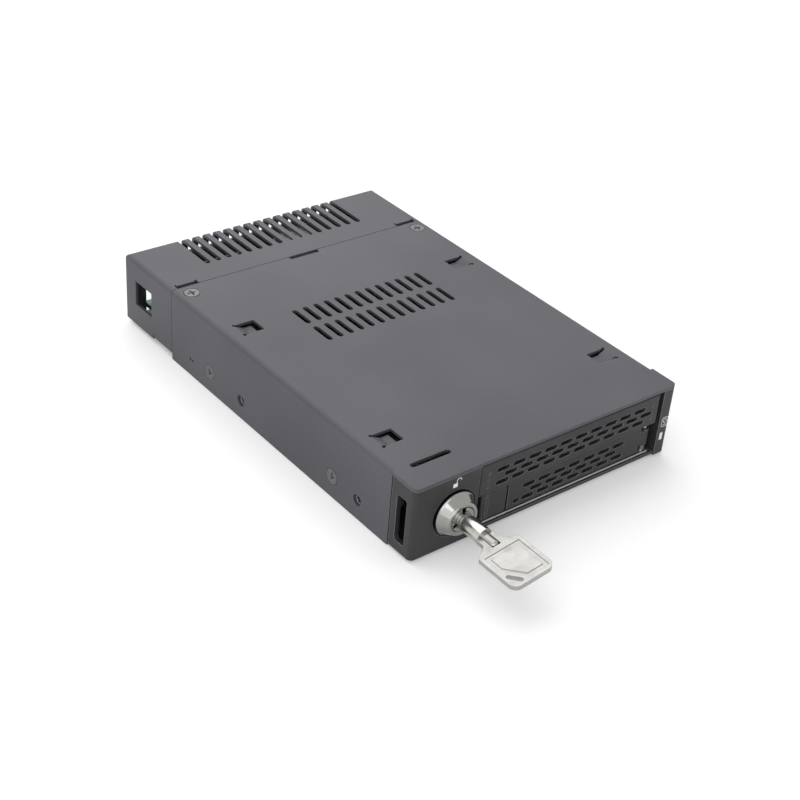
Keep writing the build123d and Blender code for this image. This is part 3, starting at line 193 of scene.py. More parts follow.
def turned(profile, x, z, steps=96):
    """A profile of (radius, y) turned about a front to rear line through x and z.

    At angle a the point is (x + radius cos a, y, z + radius sin a).
    """
    angle = np.linspace(0, 2 * np.pi, steps, endpoint=False)
    radius = profile[:, :1]
    y = np.broadcast_to(profile[:, 1:], (len(profile), steps))
    return np.stack([x + radius * np.cos(angle), y, z + radius * np.sin(angle)], axis=-1)[None]


def screw_form(sizes, head, thread, depth, reach, steps=64, rings=22):
    """A screw with a flush head, along -Z from the origin, as one row of rings.

    Head and thread are radii, depth is the cone's, and reach is the whole screw's length.
    Over the head's face the height is minus the recess depth times a cross shaped mask: the
    mask is 1 where the smaller of |x| and |y| is under half the recess width and the larger is
    under half its length, and it falls off over a short way. The cross gets shallower outwards.
    Below, the rings follow the cone and then the shaft, and end in a pole.
    """
    angle = np.linspace(0, 2 * np.pi, steps, endpoint=False)
    rim = 0.08 * MM
    radius = np.linspace(0, 1, rings)[:, None] * (head - rim)
    x = radius * np.cos(angle)
    y = radius * np.sin(angle)
    small = np.minimum(abs(x), abs(y))
    large = np.maximum(abs(x), abs(y))
    fall = 0.16 * MM
    mask = np.clip((sizes.recess_width / 2 + fall / 2 - small) / fall, 0, 1)
    mask = mask * np.clip((sizes.recess_length / 2 + fall / 2 - large) / fall, 0, 1)
    z = -sizes.recess_depth * mask * (1 - 0.6 * large / (sizes.recess_length / 2 + fall))
    face = np.stack([x, y, z], axis=-1)
    point = 0.3 * MM
    body = np.array([
        (head, -rim), (thread, -depth), (thread, point - reach), (thread - point, -reach),
        (0, -reach),
    ])
    rest = np.stack(
        [body[:, :1] * np.cos(angle), body[:, :1] * np.sin(angle),
         np.broadcast_to(body[:, 1:], (len(body), steps))], axis=-1,
    )
    return np.concatenate([face, rest])


def placed(form, spots):
    """Copies of a grid at spots, each an origin and an outward direction n.

    The grid's point (x, y, z) goes to origin + x u + y v + z n, where v = n x u.
    """
    origins = np.array([origin for origin, _ in spots])
    outward = np.array([direction for _, direction in spots], float)
    across = np.where(abs(outward[:, 1:2]) < 0.5, [[0.0, 1.0, 0.0]], [[1.0, 0.0, 0.0]])
    upward = np.cross(outward, across)
    axes = np.stack([across, upward, outward], axis=1)
    return np.einsum("rcj,kji->krci", form, axes) + origins[:, None, None]


def wound(start, along, radius, length, wire, turns, steps=24, sides=10):
    """A wire wound round an axis: a circle of the wire's radius carried along a helix.

    At angle a the wire's middle is start + along * length * a / all + radius (u cos a + v sin a).
    The circle lies in the plane of the outward and the axial direction. Both ends are poles.
    """
    along = np.array(along, float)
    u = np.array([0.0, 1.0, 0.0]) if abs(along[1]) < 0.5 else np.array([1.0, 0.0, 0.0])
    v = np.cross(along, u)
    angle = np.linspace(0, 2 * np.pi * turns, steps * turns + 1)[:, None]
    outward = np.cos(angle) * u + np.sin(angle) * v
    middle = np.asarray(start) + along * length * angle / angle[-1] + radius * outward
    around = np.linspace(0, 2 * np.pi, sides, endpoint=False)[None, :, None]
    ring = wire / 2 * (np.cos(around) * outward[:, None] + np.sin(around) * along)
    tube = middle[:, None] + ring
    ends = [np.broadcast_to(middle[end], (1, sides, 3)) for end in (0, -1)]
    return np.concatenate([ends[0], tube, ends[1]])[None]


def bars(centres, size, corner):
    """Small bars with eased ends: a rectangle carried from front to rear, with a pole at each end.

    The rectangle is drawn in by the corner at the first and last ring.
    """
    half = np.asarray(size) / 2
    outline = np.array([(-1, -1), (1, -1), (1, 1), (-1, 1)], float)
    insets = np.array([1.0, 1.0, 0.0, 0.0, 1.0, 1.0])[:, None, None] * corner
    scale = np.array([0.0, 1.0, 1.0, 1.0, 1.0, 0.0])[:, None, None]
    xz = outline[None] * (half[[0, 2]] - insets) * scale
    y = np.array([-1, -1, -1, 1, 1, 1]) * half[1]
    y = y + np.array([0, 0, 1, -1, 0, 0]) * corner
    y = np.broadcast_to(y[:, None], xz.shape[:2])
    form = np.stack([xz[..., 0], y, xz[..., 1]], axis=-1)
    return form[None] + np.asarray(centres)[:, None, None]


def stepped_plate(edge, top_z, front_y, rear_y):
    """An upright plate with a straight top, whose lower edge follows (x, z) points.

    At each point the section is the rectangle from front_y to rear_y and from z to top_z. Two
    points one above the other give a step. Each end is a pole at the middle of its section.
    """
    x, z = np.asarray(edge, float).T
    depth = np.array([front_y, front_y, rear_y, rear_y])
    height = np.stack([np.full_like(z, top_z), z, z, np.full_like(z, top_z)], axis=1)
    grid = np.stack([np.broadcast_to(x[:, None], height.shape),
                     np.broadcast_to(depth, height.shape), height], axis=-1)
    ends = [np.broadcast_to(grid[end].mean(axis=0), (1, 4, 3)) for end in (0, -1)]
    return np.concatenate([ends[0], grid, ends[1]])[None]


def line_mark(points, width, y, height, closed):
    """A printed line of even width on the front face, as a closed rectangular section.

    At each point the section's four corners are the point plus or minus half the width along
    the line's own normal, at the two depths y and y minus the ink's height. The ends of an open
    line are poles at the middle of the section.
    """
    points = np.asarray(points, float)
    if closed:
        tangent = np.roll(points, -1, axis=0) - np.roll(points, 1, axis=0)
    else:
        tangent = np.gradient(points, axis=0)
    tangent = tangent / np.linalg.norm(tangent, axis=1, keepdims=True)
    normal = np.stack([-tangent[:, 1], tangent[:, 0]], axis=1) * width / 2
    sides = np.stack([points - normal, points + normal, points + normal, points - normal], axis=1)
    depth = np.array([y, y, y - height, y - height])
    depth = np.broadcast_to(depth, sides.shape[:2])
    grid = np.stack([sides[..., 0], depth, sides[..., 1]], axis=-1)
    if not closed:
        ends = [np.broadcast_to(grid[end].mean(axis=0), (1, 4, 3)) for end in (0, -1)]
        grid = np.concatenate([ends[0], grid, ends[1]])
    return grid[None]


def filled_mark(outline, y, height):
    """A printed patch on the front face: its outline drawn in to a pole at both depths."""
    outline = np.asarray(outline, float)
    middle = outline.mean(axis=0)
    scale = np.array([0.0, 1.0, 1.0, 0.0])[:, None, None]
    xz = middle + (outline - middle) * scale
    depth = np.array([y - height, y - height, y, y])[:, None]
    depth = np.broadcast_to(depth, xz.shape[:2])
    return np.stack([xz[..., 0], depth, xz[..., 1]], axis=-1)[None]


# Finishes

# The Mix node's sockets for colours: its two inputs and its output
FIRST, SECOND, MIXED = 6, 7, 2


def add(tree, kind, settings=None, links=None, out=None):
    """Adds one shader node, and returns it, or the output that out names.

    Settings are its sockets or properties by name, and links are the outputs that feed it.
    """
    node = tree.nodes.new(kind)
    for name, value in (settings or {}).items():
        if isinstance(name, int) or name in node.inputs:
            node.inputs[name].default_value = value
        else:
            setattr(node, name, value)
    for name, source in (links or {}).items():
        tree.links.new(source, node.inputs[name])
    return node if out is None else node.outputs[out]


def blank(name, settings):
    """A material with one principled shader, its tree and that shader."""
    material = bpy.data.materials.new(name)
    material.use_nodes = True
    tree = material.node_tree
    tree.nodes.clear()
    shader = add(tree, "ShaderNodeBsdfPrincipled", settings)
    add(tree, "ShaderNodeOutputMaterial", links={"Surface": shader.outputs["BSDF"]})
    return material, tree, shader


def per_metre(millimetres):
    """A pattern's scale from its real size."""
    return 1 / (millimetres * MM)


def shaded(colour, share):
    """A darker tone of a colour."""
    return tuple(share * part for part in colour[:3]) + (1.0,)


def grain(tree, millimetres, detail=2.0, stretch=None):
    """A cloudy pattern whose features have a real size, drawn out along an axis if asked."""
    place = add(tree, "ShaderNodeTexCoord", out="Object")
    if stretch:
        place = add(tree, "ShaderNodeMapping", {"Scale": stretch}, {"Vector": place}, "Vector")
    settings = {"Scale": per_metre(millimetres), "Detail": detail, "Roughness": 0.6}
    return add(tree, "ShaderNodeTexNoise", settings, {"Vector": place}, "Fac")


def relief(tree, shader, heights, edge):
    """Gives a surface its softened edges and its bumps, each a (pattern, depth in mm) pair."""
    soft = add(tree, "ShaderNodeBevel", {"samples": 6, "Radius": edge}, out="Normal")
    for pattern, depth in heights:
        soft = add(tree, "ShaderNodeBump", {"Strength": 1.0, "Distance": depth * MM},
                   {"Height": pattern, "Normal": soft}, "Normal")
    tree.links.new(soft, shader.inputs["Normal"])


def edge_mask(tree, edge):
    """Where the softened normal turns away from the flat one, as it does along an edge."""
    soft = add(tree, "ShaderNodeBevel", {"samples": 6, "Radius": edge}, out="Normal")
    flat = add(tree, "ShaderNodeNewGeometry", out="Normal")
    facing = add(tree, "ShaderNodeVectorMath", {"operation": "DOT_PRODUCT"}, {0: soft, 1: flat},
                 "Value")
    return add(tree, "ShaderNodeMapRange",
               {"From Min": 0.995, "From Max": 0.86, "To Min": 0.0, "To Max": 1.0},
               {"Value": facing}, "Result")


def coated_steel(sizes, colours):
    # Powder coated steel: a dry, fine grained coat over folded sheet. The eye sees a soft sheen
    # with a faint orange peel, slow changes of tone, and a painted highlight along the edges, in
    # patches.
    # The real grit is about 0.1 mm and is drawn at 0.45 mm, or it would not show.
    material, tree, shader = blank("powder_coated_steel", {"IOR": 1.45, "Metallic": 0.0})
    peel = grain(tree, 0.45, detail=3.0)
    slow = grain(tree, 38.0, detail=1.0)
    clouds = add(tree, "ShaderNodeMapRange",
                 {"From Min": 0.3, "From Max": 0.7, "To Min": 0.0, "To Max": 0.16},
                 {"Value": slow}, "Result")
    tone = add(tree, "ShaderNodeMix",
               {"data_type": "RGBA", FIRST: colours.case, SECOND: colours.case_pale_tone_and_highlight},
               {0: clouds}, MIXED)
    flecks = add(tree, "ShaderNodeMapRange",
                 {"From Min": 0.45, "From Max": 0.75, "To Min": 0.0, "To Max": 0.22},
                 {"Value": peel}, "Result")
    tone = add(tree, "ShaderNodeMix", {"data_type": "RGBA", SECOND: colours.case_pale_tone_and_highlight},
               {0: flecks, FIRST: tone}, MIXED)
    patches = add(tree, "ShaderNodeMapRange",
                  {"From Min": 0.35, "From Max": 0.7, "To Min": 0.15, "To Max": 0.9},
                  {"Value": grain(tree, 2.4, detail=4.0)}, "Result")
    # Painted highlight along the edges, in patches: the edge mask mixes the coat towards its paler
    # colour
    painted_patchy_edge_highlight = add(tree, "ShaderNodeMath", {"operation": "MULTIPLY"},
               {0: edge_mask(tree, sizes.edge), 1: patches}, "Value")
    tone = add(tree, "ShaderNodeMix", {"data_type": "RGBA", SECOND: colours.case_pale_tone_and_highlight},
               {0: painted_patchy_edge_highlight, FIRST: tone}, MIXED)
    tree.links.new(tone, shader.inputs["Base Color"])
    sheen = add(tree, "ShaderNodeMapRange",
                {"From Min": 0.3, "From Max": 0.7, "To Min": 0.44, "To Max": 0.56},
                {"Value": peel}, "Result")
    tree.links.new(sheen, shader.inputs["Roughness"])
    relief(tree, shader, [(slow, 0.03), (peel, 0.014)], sizes.edge)
    return material


def moulded_plastic(name, colour, sizes, roughness):
    # Moulded ABS with a spark eroded tool texture: near black and matt, with a fine even grain
    # of about 0.1 mm that is drawn at 0.3 mm, and a painted highlight that lightens the edges.
    material, tree, shader = blank(name, {"IOR": 1.45, "Specular IOR Level": 0.3})
    # Painted highlight: the edge mask mixes the moulding towards a light grey
    painted_edge_highlight = add(tree, "ShaderNodeMapRange",
                 {"From Min": 0.0, "From Max": 1.0, "To Min": 0.0, "To Max": 0.8},
                 {"Value": edge_mask(tree, sizes.edge)}, "Result")
    tone = add(tree, "ShaderNodeMix",
               {"data_type": "RGBA", FIRST: colour, SECOND: linear("#98989c")},
               {0: painted_edge_highlight}, MIXED)
    tree.links.new(tone, shader.inputs["Base Color"])
    texture = grain(tree, 0.3, detail=2.0)
    sheen = add(tree, "ShaderNodeMapRange",
                {"From Min": 0.3, "From Max": 0.7,
                 "To Min": roughness - 0.06, "To Max": roughness + 0.06},
                {"Value": grain(tree, 14.0, detail=2.0)}, "Result")
    tree.links.new(sheen, shader.inputs["Roughness"])
    relief(tree, shader, [(texture, 0.012)], sizes.edge)
    return material


def plated_sheet(name, colour, sizes, roughness, stretch=(1.0, 0.04, 1.0)):
    # Zinc plated, tinned or bright rolled steel: cold rolled lines along the strip, about 0.1 mm
    # apart and drawn at 0.25 mm, and a faint cloudy bloom in the plating, a centimetre across.
    material, tree, shader = blank(name, {"Metallic": 1.0})
    lines = grain(tree, 0.25, detail=3.0, stretch=stretch)
    bloom = add(tree, "ShaderNodeMapRange",
                {"From Min": 0.3, "From Max": 0.75, "To Min": 0.0, "To Max": 0.6},
                {"Value": grain(tree, 9.0, detail=4.0)}, "Result")
    tone = add(tree, "ShaderNodeMix",
               {"data_type": "RGBA", FIRST: colour, SECOND: shaded(colour, 0.72)},
               {0: bloom}, MIXED)
    tree.links.new(tone, shader.inputs["Base Color"])
    streaks = add(tree, "ShaderNodeMapRange",
                  {"From Min": 0.2, "From Max": 0.8, "To Min": 0.0, "To Max": 0.3},
                  {"Value": lines}, "Result")
    rough = add(tree, "ShaderNodeMath", {"operation": "ADD", 1: roughness - 0.15}, {0: streaks},
                "Value")
    tree.links.new(rough, shader.inputs["Roughness"])
    relief(tree, shader, [(lines, 0.006)], sizes.edge)
    return material


def polished_metal(name, colour, sizes, roughness, scratch):
    # Metal that is turned, drawn or plated, and then handled: bright and smooth, with hair
    # scratches of about 0.02 mm that are drawn at 0.12 mm and run in short random strokes. The
    # scratch is their depth in mm.
    material, tree, shader = blank(name, {"Metallic": 1.0})
    strokes = grain(tree, 0.12, detail=4.0, stretch=(1.0, 0.12, 0.5))
    haze = grain(tree, 3.5, detail=3.0)
    dulled = add(tree, "ShaderNodeMapRange",
                 {"From Min": 0.35, "From Max": 0.8, "To Min": 0.0, "To Max": 0.5},
                 {"Value": haze}, "Result")
    tone = add(tree, "ShaderNodeMix",
               {"data_type": "RGBA", FIRST: colour, SECOND: shaded(colour, 0.78)},
               {0: dulled}, MIXED)
    tree.links.new(tone, shader.inputs["Base Color"])
    sheen = add(tree, "ShaderNodeMapRange",
                {"From Min": 0.3, "From Max": 0.7,
                 "To Min": roughness * 0.75, "To Max": roughness * 1.35},
                {"Value": haze}, "Result")
    tree.links.new(sheen, shader.inputs["Roughness"])
    relief(tree, shader, [(strokes, scratch)], sizes.edge * 0.6)
    return material


def laminate(sizes, colours):
    # Glass epoxy board under green solder mask: glossy, with copper areas and traces that show
    # lighter through the mask, about 2.5 mm across, and tinned vias of 0.6 mm.
    material, tree, shader = blank(
        "solder_masked_laminate", {"IOR": 1.52, "Roughness": 0.32, "Coat Weight": 0.25}
    )
    place = add(tree, "ShaderNodeTexCoord", out="Object")
    areas = add(
        tree, "ShaderNodeTexVoronoi",
        {"distance": "MANHATTAN", "feature": "F1", "Scale": per_metre(2.5), "Randomness": 0.35},
        {"Vector": place}, "Distance",
    )
    traces = add(tree, "ShaderNodeMapRange",
                 {"From Min": 0.42, "From Max": 0.46, "To Min": 0.0, "To Max": 0.7},
                 {"Value": areas}, "Result")
    tone = add(tree, "ShaderNodeMix",
               {"data_type": "RGBA", FIRST: colours.board, SECOND: colours.copper},
               {0: traces}, MIXED)
    spots = add(tree, "ShaderNodeTexVoronoi", {"Scale": per_metre(3.7), "Randomness": 1.0},
                {"Vector": place}, "Distance")
    vias = add(tree, "ShaderNodeMapRange",
               {"From Min": 0.1, "From Max": 0.08, "To Min": 0.0, "To Max": 0.8},
               {"Value": spots}, "Result")
    tone = add(tree, "ShaderNodeMix", {"data_type": "RGBA", SECOND: linear("#a9ab9f")},
               {0: vias, FIRST: tone}, MIXED)
    tree.links.new(tone, shader.inputs["Base Color"])
    relief(tree, shader, [(traces, 0.03)], sizes.edge * 0.5)
    return material


def cast_resin(name, colour, sizes, roughness, mark_size):
    # Moulded connector plastic or chip resin: filled with glass, dull, with faint flow marks
    # whose size is given in mm.
    material, tree, shader = blank(name, {"IOR": 1.5})
    flow = grain(tree, mark_size, detail=3.0, stretch=(0.5, 1.0, 1.0))
    marks = add(tree, "ShaderNodeMapRange",
                {"From Min": 0.3, "From Max": 0.7, "To Min": 0.0, "To Max": 0.5},
                {"Value": flow}, "Result")
    tone = add(tree, "ShaderNodeMix",
               {"data_type": "RGBA", FIRST: colour, SECOND: shaded(colour, 0.6)},
               {0: marks}, MIXED)
    tree.links.new(tone, shader.inputs["Base Color"])
    sheen = add(tree, "ShaderNodeMapRange",
                {"From Min": 0.3, "From Max": 0.7,
                 "To Min": roughness - 0.08, "To Max": roughness + 0.08},
                {"Value": flow}, "Result")
    tree.links.new(sheen, shader.inputs["Roughness"])
    relief(tree, shader, [(flow, 0.01)], sizes.edge * 0.5)
    return material


def screen_ink(colours):
    # Screen printed ink: flat, slightly chalky white, with pinholes about 0.15 mm across that
    # are drawn at 0.3 mm.
    material, tree, shader = blank("screen_printed_ink", {"IOR": 1.5, "Roughness": 0.6})
    pinholes = add(tree, "ShaderNodeMapRange",
                   {"From Min": 0.28, "From Max": 0.36, "To Min": 0.0, "To Max": 1.0},
                   {"Value": grain(tree, 0.3, detail=3.0)}, "Result")
    tone = add(tree, "ShaderNodeMix",
               {"data_type": "RGBA", FIRST: shaded(colours.ink, 0.55), SECOND: colours.ink},
               {0: pinholes}, MIXED)
    tree.links.new(tone, shader.inputs["Base Color"])
    return material


def milky_acrylic(colours):
    # Moulded acrylic with a frosted end: it lets light in a little way, so it looks white.
    material, tree, shader = blank(
        "frosted_acrylic",
        {"IOR": 1.49, "Subsurface Weight": 0.35, "Subsurface Scale": 0.6 * MM,
         "Subsurface Radius": (1.0, 1.0, 1.0), "Roughness": 0.35},
    )
    frost = add(tree, "ShaderNodeMapRange",
                {"From Min": 0.3, "From Max": 0.7, "To Min": 0.0, "To Max": 0.7},
                {"Value": grain(tree, 0.6, detail=3.0)}, "Result")
    cooler = tuple(part * share for part, share in zip(colours.lens, (0.86, 0.89, 0.93, 1.0)))
    tone = add(tree, "ShaderNodeMix",
               {"data_type": "RGBA", FIRST: colours.lens, SECOND: cooler}, {0: frost}, MIXED)
    tree.links.new(tone, shader.inputs["Base Color"])
    return material


def seen_rays(tree):
    """1 for the camera's own rays and for those in reflections and through glass, 0 for light."""
    path = add(tree, "ShaderNodeLightPath")
    seen = add(tree, "ShaderNodeMath", {"operation": "MAXIMUM"},
               {0: path.outputs["Is Camera Ray"], 1: path.outputs["Is Glossy Ray"]}, "Value")
    return add(tree, "ShaderNodeMath", {"operation": "MAXIMUM"},
               {0: seen, 1: path.outputs["Is Transmission Ray"]}, "Value")


def dress(material, *names):
    """Gives CAD nodes a material."""
    for name in names:
        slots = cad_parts[name].data.materials
        slots.clear()
        slots.append(material)


# Operators


class CAGE_OT_case(bpy.types.Operator):
    """Coats the cover, the pan and the hood."""

    bl_idname = "cage.case"
    bl_label = "Coat the case"

    def execute(self, context):
        finish = coated_steel(context.scene.cage_sizes, context.scene.cage_colours)
        dress(finish, "top_cover", "bottom_pan", "rear_hood")
        return {"FINISHED"}


class CAGE_OT_pressings(bpy.types.Operator):
    """Presses the level ends of the lanced tabs and the plate behind the hood's rear wall."""

    bl_idname = "cage.pressings"
    bl_label = "Press the tab ends and the rear plate"

    def execute(self, context):
        finish = bpy.data.materials["powder_coated_steel"]
        tab_x, tab_rows, tab_drop = 41.4, (24.3, 94.5), 1.7
        tab_end = np.array([2.7, 4.7, 1.0]) * MM
        middles = [
            (side * tab_x * MM, front + row * MM, top - tab_drop * MM)
            for side in (-1, 1) for row in tab_rows
        ]
        ends = bars(middles, tab_end, 0.1 * MM)
        mesh_piece("tab_ends", ends, finish, "cage", smooth=30)

        # The plate's lower edge steps up over the two ports
        half_width, low_z, top_z = 43.9 * MM, 11.6 * MM, 20.3 * MM
        gap = 0.4 * MM
        edge = [(-half_width, low_z)]
        for port in ("power_port", "data_port"):
            low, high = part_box(port)
            edge += [
                (low.x - gap, low_z), (low.x - gap, high.z + gap),
                (high.x + gap, high.z + gap), (high.x + gap, low_z),
            ]
        edge.append((half_width, low_z))
        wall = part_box("rear_hood")[1].y
        plate = stepped_plate(edge, top_z, wall - 1.7 * MM, wall - 1.05 * MM)
        mesh_piece("hood_rear_plate", plate, finish, "cage", smooth=30)
        return {"FINISHED"}


class CAGE_OT_mouldings(bpy.types.Operator):
    """Gives the moulded front its plastic."""

    bl_idname = "cage.mouldings"
    bl_label = "Texture the mouldings"

    def execute(self, context):
        sizes, colours = context.scene.cage_sizes, context.scene.cage_colours
        plastic = moulded_plastic("textured_abs", colours.moulding, sizes, 0.46)
        dress(plastic, "front_bezel", "tray_front", "latch_lever", "release_button")
        return {"FINISHED"}


class CAGE_OT_sheets(bpy.types.Operator):
    """Plates the guides, the tray and the small bright sheet parts."""

    bl_idname = "cage.sheets"
    bl_label = "Plate the sheet parts"

    def execute(self, context):
        sizes, colours = context.scene.cage_sizes, context.scene.cage_colours
        zinc = plated_sheet("zinc_plated_steel", colours.zinc, sizes, 0.4)
        dress(zinc, "left_guide", "right_guide", "tray_frame", "mount_nuts", "lock_cam",
              "lock_nut")
        bright = plated_sheet("bright_rolled_steel", colours.bright_steel, sizes, 0.42,
                              stretch=(0.04, 1.0, 1.0))
        dress(bright, "ground_springs", "lever_pin")
        dress(plated_sheet("perforated_plated_steel", colours.bright_steel, sizes, 0.62),
              "airflow_screen")
        dress(plated_sheet("tinned_shell_steel", linear("#8b8d8f"), sizes, 0.5), "data_port")
        return {"FINISHED"}


class CAGE_OT_lock(bpy.types.Operator):
    """Turns the lock's collar with its threaded barrel, and the key's domed rivet."""

    bl_idname = "cage.lock"
    bl_label = "Turn the lock and the key"

    def execute(self, context):
        sizes, colours = context.scene.cage_sizes, context.scene.cage_colours
        chrome = polished_metal("nickel_chrome_plate", colours.chrome, sizes, 0.13, 0.004)
        nickel = polished_metal("satin_nickel_plate", colours.nickel, sizes, 0.33, 0.01)
        dress(chrome, "lock_cylinder")
        dress(nickel, "key_bow")
        turned_nickel = polished_metal("turned_nickel_plate", colours.tube, sizes, 0.16, 0.003)
        dress(turned_nickel, "key_tube")

        # The collar in (radius, distance behind the case's front), from its bore outwards
        low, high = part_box("lock_body")
        x, z = (low.x + high.x) / 2, (low.z + high.z) / 2
        collar = high.x - x
        bore, barrel = 3.95, 5.0
        nose = [
            (bore, -3.55), (4.2, -3.98), (5.05, -3.98), (5.3, -3.7), (5.45, -3.35), (6.95, -1.0),
            (7.18, -0.78), (collar / MM, -0.6), (collar / MM, 0.79), (barrel, 0.8), (barrel, 2.4),
        ]
        nose = eased(np.array(nose) * MM + (0, front), 0.14 * MM, steps=4, closed=False)

        # The thread is a zigzag: its crests stand at the barrel's radius
        turns = int((high.y - front - 2.6 * MM) / sizes.thread_pitch)
        halves = np.arange(2 * turns + 1)
        y = front + 2.5 * MM + halves * sizes.thread_pitch / 2
        radius = barrel * MM - sizes.thread_depth * (halves % 2)
        thread = np.stack([radius, y], axis=1)
        rear = np.array([
            (barrel * MM, high.y - 0.05 * MM), (4.8 * MM, high.y), (bore * MM, high.y),
        ])
        profile = np.concatenate([nose, thread, rear])
        piece = mesh_piece("lock_collar", turned(profile, x, z), chrome, "lock",
                           closed_along=True, smooth=32)
        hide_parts("lock_body")

        # The rivet: a dome over its front, then a shank with a wider, flat rear
        low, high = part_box("key_rivet")
        x, z = (low.x + high.x) / 2, (low.z + high.z) / 2
        shank_radius, dome_height = 1.45, 1.25
        lift = np.linspace(0, np.pi / 2, 10)
        dome = [shank_radius * np.sin(lift), dome_height - dome_height * np.cos(lift)]
        dome = np.stack(dome, axis=1) * MM
        shank = np.array([(shank_radius, 5.2), (1.98, 5.2), (1.98, 9.2), (0.0, 9.2)]) * MM
        profile = np.concatenate([dome, shank]) + (0, low.y)
        piece = mesh_piece("key_rivet_dome", turned(profile, x, z, 48), nickel, "key")
        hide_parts("key_rivet")
        return {"FINISHED"}


class CAGE_OT_screws(bpy.types.Operator):
    """Cuts the screws that show, each with a cross in its flush head."""

    bl_idname = "cage.screws"
    bl_label = "Cut the screws"

    def execute(self, context):
        sizes, colours = context.scene.cage_sizes, context.scene.cage_colours
        blackened = polished_metal("blackened_screw_steel", colours.black_screw, sizes, 0.36, 0.01)
        head, thread, cone = 2.5 * MM, 1.25 * MM, 1.0 * MM
        case_reach, floor_reach = 3.3 * MM, 1.8 * MM
        lid_x, lid_y = 45.9 * MM, front + 121.8 * MM
        side_rows, side_z = (37.4, 103.3), 7.0 * MM
        form = screw_form(sizes, head, thread, cone, case_reach)
        lid = [((x, lid_y, top), (0, 0, 1)) for x in (-lid_x, lid_x)]
        sides = [
            ((side * case_half, front + y * MM, side_z), (side, 0, 0))
            for side in (-1, 1) for y in side_rows
        ]
        piece = mesh_piece("case_screws", placed(form, lid + sides), blackened, "cage", smooth=40)
        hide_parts("cover_screws")

        floor_columns, floor_rows = (-33.0, 46.9), (31.0, 108.0)
        form = screw_form(sizes, head, thread, cone, floor_reach)
        under = [
            ((x * MM, front + y * MM, 0.0), (0, 0, -1)) for x in floor_columns for y in floor_rows
        ]
        piece = mesh_piece("floor_screws", placed(form, under), blackened, "cage", smooth=40)
        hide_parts("guide_screws")
        zinc = polished_metal("zinc_plated_screw", colours.zinc, sizes, 0.32, 0.01)
        dress(zinc, "backplane_screws", "board_screws", "cam_screw", "tray_screws")
        return {"FINISHED"}


class CAGE_OT_springs(bpy.types.Operator):
    """Winds the springs of the lever and the button."""

    bl_idname = "cage.springs"
    bl_label = "Wind the springs"

    def execute(self, context):
        sizes = context.scene.cage_sizes
        steel = polished_metal("music_wire", linear("#6f7173"), sizes, 0.3, 0.004)
        for node, name, along in (
            ("lever_spring", "lever_coil", (0, 0, 1)),
            ("button_spring", "button_coil", (1, 0, 0)),
        ):
            low, high = (np.array(corner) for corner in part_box(node))
            along = np.array(along, float)
            size = high - low
            middle = (low + high) / 2
            length = float(size @ along) - sizes.wire
            radius = float(np.sort(size[along < 0.5])[0]) / 2 - sizes.wire / 2
            start = middle - along * length / 2
            grid = wound(start, along, radius, length, sizes.wire, sizes.turns)
            piece = mesh_piece(name, grid, steel, "tray", smooth=60)
            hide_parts(node)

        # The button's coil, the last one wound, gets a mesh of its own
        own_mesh(piece)
        return {"FINISHED"}


class CAGE_OT_marks(bpy.types.Operator):
    """Prints the open padlock above the lock and the drive sign above the lamp."""

    bl_idname = "cage.marks"
    bl_label = "Print the marks"

    def execute(self, context):
        sizes, colours = context.scene.cage_sizes, context.scene.cage_colours
        ink = screen_ink(colours)

        # The ink's rear lies a little inside the bezel, so that no gap shows behind it
        sunk = 0.05 * MM
        face = front + sunk
        height = sizes.ink_height + sunk
        thin = sizes.ink_line * 0.8

        # All outlines are (x, z) in mm
        body = eased(np.array([(-37.5, 21.0), (-35.9, 21.0), (-35.9, 22.3), (-37.5, 22.3)]) * MM,
                     0.2 * MM)
        shackle = eased(
            np.array([(-36.2, 22.25), (-36.2, 23.65), (-34.7, 23.65), (-34.7, 22.95)]) * MM,
            0.6 * MM, steps=8, closed=False,
        )
        drive = eased(np.array([(47.1, 10.9), (49.7, 10.9), (49.7, 14.2), (47.1, 14.2)]) * MM,
                      0.7 * MM, steps=7)
        angle = np.linspace(0, 2 * np.pi, 20, endpoint=False)
        middle_x, middle_z, spindle_radius = 48.4, 12.95, 0.65
        spindle = [
            middle_x + spindle_radius * np.cos(angle), middle_z + spindle_radius * np.sin(angle),
        ]
        spindle = np.stack(spindle, axis=1) * MM
        bar = np.array([(47.8, 11.6), (49.0, 11.6)]) * MM
        grids = (
            (filled_mark(body, face, height), False),
            (line_mark(shackle, sizes.ink_line, face, height, False), False),
            (line_mark(drive, thin, face, height, True), True),
            (line_mark(spindle, thin, face, height, True), True),
            (line_mark(bar, thin, face, height, False), False),
        )
        for number, (grid, closed) in enumerate(grids, start=1):
            piece = mesh_piece(f"printed_mark_{number}", grid, ink, "cage", closed_along=closed)
        return {"FINISHED"}


